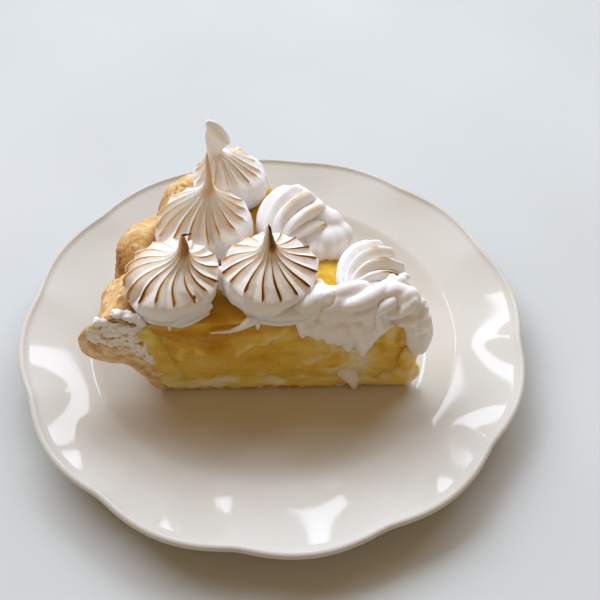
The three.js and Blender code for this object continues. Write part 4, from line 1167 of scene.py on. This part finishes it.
# Bulges: travelled, away, height, and half-widths along, out and up
BULGES = [
    (-1, -0.6, 24, 5, 2.6, 6.5), (1.5, -0.8, 18, 4.8, 3.0, 6.5), (-3, -0.6, 13, 6, 2.4, 6.5),
    (-8, -0.9, 10.4, 6, 2.2, 4.8), (4.5, -1.4, 12, 5, 2.6, 6), (1, -0.6, 11, 5.4, 2.8, 5.4),
]

# The film over the joint: it fades out past_curd, the way from the joint, which is below 0 on the curd
past_curd = np.linalg.norm(cut_end - cut_end[:, END_COLUMNS - 1:END_COLUMNS], axis=-1)
past_curd[:, END_COLUMNS:] *= -1
height = cut_end[..., 2]
reach = 1.8 + 2.6 * rough(cut_end, (5, 5, 3.2), 471) + 3.4 * ease(height, 34, 16)
film = 1.9 * ease(past_curd, reach + 0.9, reach - 0.9) * ease(past_curd, -7, -4.6) + SUNK
film = film * (1 + 0.5 * rough(cut_end, (3, 3, 2.2), 473)) * ease(height, 45.5, 43)
bodies = [end_sheet(film - 1.2 * ease(height, 43, 45.5))]
# The smear over the edge of the base
distance, height = np.meshgrid(np.arange(3.2, 97.5, 0.35), np.arange(5.5, 17.5, 0.3), indexing="ij")
flat = np.stack([distance, height, 0 * height], -1)
lower = 7.4 + 1.2 * rough(flat * [1, 0, 0], (9, 9, 9), 451) - 1.4 * ease(30 - distance, 0, 20)
upper = 12.4 + 2.2 * rough(flat * [1, 0, 0], (12, 9, 9), 453)
amount = ease(height, lower - 0.5, lower + 0.9) * (1 - ease(height, upper - 1.6, upper + 1.6))
thick = np.clip(2.6 * amount - 1.7 + 0.3 * rough(flat, (5, 2.2, 3), 455), SUNK, 1.3)
bodies += [np.concatenate([edge_place(-distance, thick, height), edge_place(-distance, -1.6, height)[::-1]])]
bodies += [lump(*sizes) for sizes in BULGES]
smeared = knead("smeared_custard", bodies, lemon, grain_size=0.43, soften=8)
points, normals = read(smeared)
push = 0.15 + 0.45 * lumps(points, (4.5, 4.5, 3.4), 457) + 0.14 * lumps(points, 1.8, 459)
points = points + normals * push[:, None]
points[:, 2] = np.maximum(points[:, 2], CRUST_BASE + 0.3)
deep = 0.22 + 0.3 * lumps(points, (6, 6, 4), 461) + 0.26 * ease(points[:, 2], 16, 22)
write(smeared, points, {"deep": deep})
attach(smeared, "root")

# --------------------
# Stage: a plain pale table top under soft studio light that comes from a broad window behind and to the
# left, and the camera that looks down on the slice from the front.
# Painted table top: a cool pale grey with a half gloss, almost even, so that the plate's shade falls softly.
table, tree, place = start("painted_table_top")
brushed = add(tree, "TexNoise", {"Vector": place, "Scale": 5.0, "Detail": 3.0})
table_tint = add(tree, "ValToRGB", {"Fac": brushed}, stops=[
    (0.3, "C6C5BC"), (0.7, "CFCEC6"),
])
shader = add(tree, "BsdfPrincipled", {"Base Color": table_tint, "Roughness": 0.4, "IOR": 1.45})
add(tree, "OutputMaterial", {"Surface": shader})
FLOOR = 6.0  # half of its width
floor_mesh = bpy.data.meshes.new("table_top")
floor_mesh.from_pydata(
    [(-FLOOR, -FLOOR, 0), (FLOOR, -FLOOR, 0), (FLOOR, FLOOR, 0), (-FLOOR, FLOOR, 0)], [], [(0, 1, 2, 3)]
)
floor_mesh.materials.append(table)
floor = bpy.data.objects.new("table_top", floor_mesh)
bpy.context.scene.collection.objects.link(floor)

world = bpy.data.worlds.new("soft_room")
world.use_nodes = True
glow = world.node_tree.nodes["Background"].inputs
glow["Color"].default_value, glow["Strength"].default_value = paint("FFDCAE"), 0.32
bpy.context.scene.world = world


def lamp(name, bearing, height, distance, wide, tall, radiance, colour, mirrored=True):
    """A soft panel that faces the slice. bearing is measured from straight behind it, clockwise."""
    light = bpy.data.lights.new(name, "AREA")
    light.shape, light.size, light.size_y = "RECTANGLE", wide, tall
    light.energy, light.color = radiance * math.pi * wide * tall, paint(colour)[:3]
    holder = bpy.data.objects.new(name, light)
    side, rise = math.radians(bearing), math.radians(height)
    way = Vector((math.sin(side) * math.cos(rise), math.cos(side) * math.cos(rise), math.sin(rise)))
    holder.location = way * distance + Vector((0, 0, 0.03))
    holder.rotation_mode = "QUATERNION"
    holder.rotation_quaternion = (-way).to_track_quat("-Z", "Y")
    holder.visible_glossy = mirrored
    bpy.context.scene.collection.objects.link(holder)


lamp("daylight", -34, 46, 2.4, 2.3, 1.4, 8.3, "D6E6FF", mirrored=False)
lamp("daylight_right", 30, 42, 2.4, 1.5, 1.2, 5.8, "D2E4FF", mirrored=False)
lamp("window_middle", -3.8, 39.5, 1.6, 0.075, 0.17, 6.4, "EAF2FF")
lamp("window_right", 1.5, 47, 1.6, 0.13, 0.17, 6.4, "EAF2FF")
lamp("window_left", -10.5, 49, 1.6, 0.095, 0.28, 6.4, "EAF2FF")

PICTURE, SENSOR = 600, 36
FOCAL = 782.8  # in the same measure as the picture's width
ELEVATION, DISTANCE, ROLL = math.radians(49.11), 0.35228, math.radians(1.43)
camera_data = bpy.data.cameras.new("camera")
camera_data.sensor_width = SENSOR
camera_data.lens = SENSOR * FOCAL / PICTURE
camera_data.clip_start, camera_data.clip_end = 0.01, 10
camera = bpy.data.objects.new("camera", camera_data)
bpy.context.scene.collection.objects.link(camera)
back = Vector((0, -math.cos(ELEVATION), math.sin(ELEVATION)))
right, up = Vector((1, 0, 0)), Vector((0, math.sin(ELEVATION), math.cos(ELEVATION)))
rolled_right = math.cos(ROLL) * right + math.sin(ROLL) * up
rolled_up = -math.sin(ROLL) * right + math.cos(ROLL) * up
stand = Vector((0.01037, 0.02387, 0)) + back * DISTANCE
camera.matrix_world = Matrix((
    (rolled_right.x, rolled_up.x, back.x, stand.x),
    (rolled_right.y, rolled_up.y, back.y, stand.y),
    (rolled_right.z, rolled_up.z, back.z, stand.z),
    (0, 0, 0, 1),
))
bpy.context.scene.camera = camera
bpy.context.scene.view_settings.view_transform = "Standard"
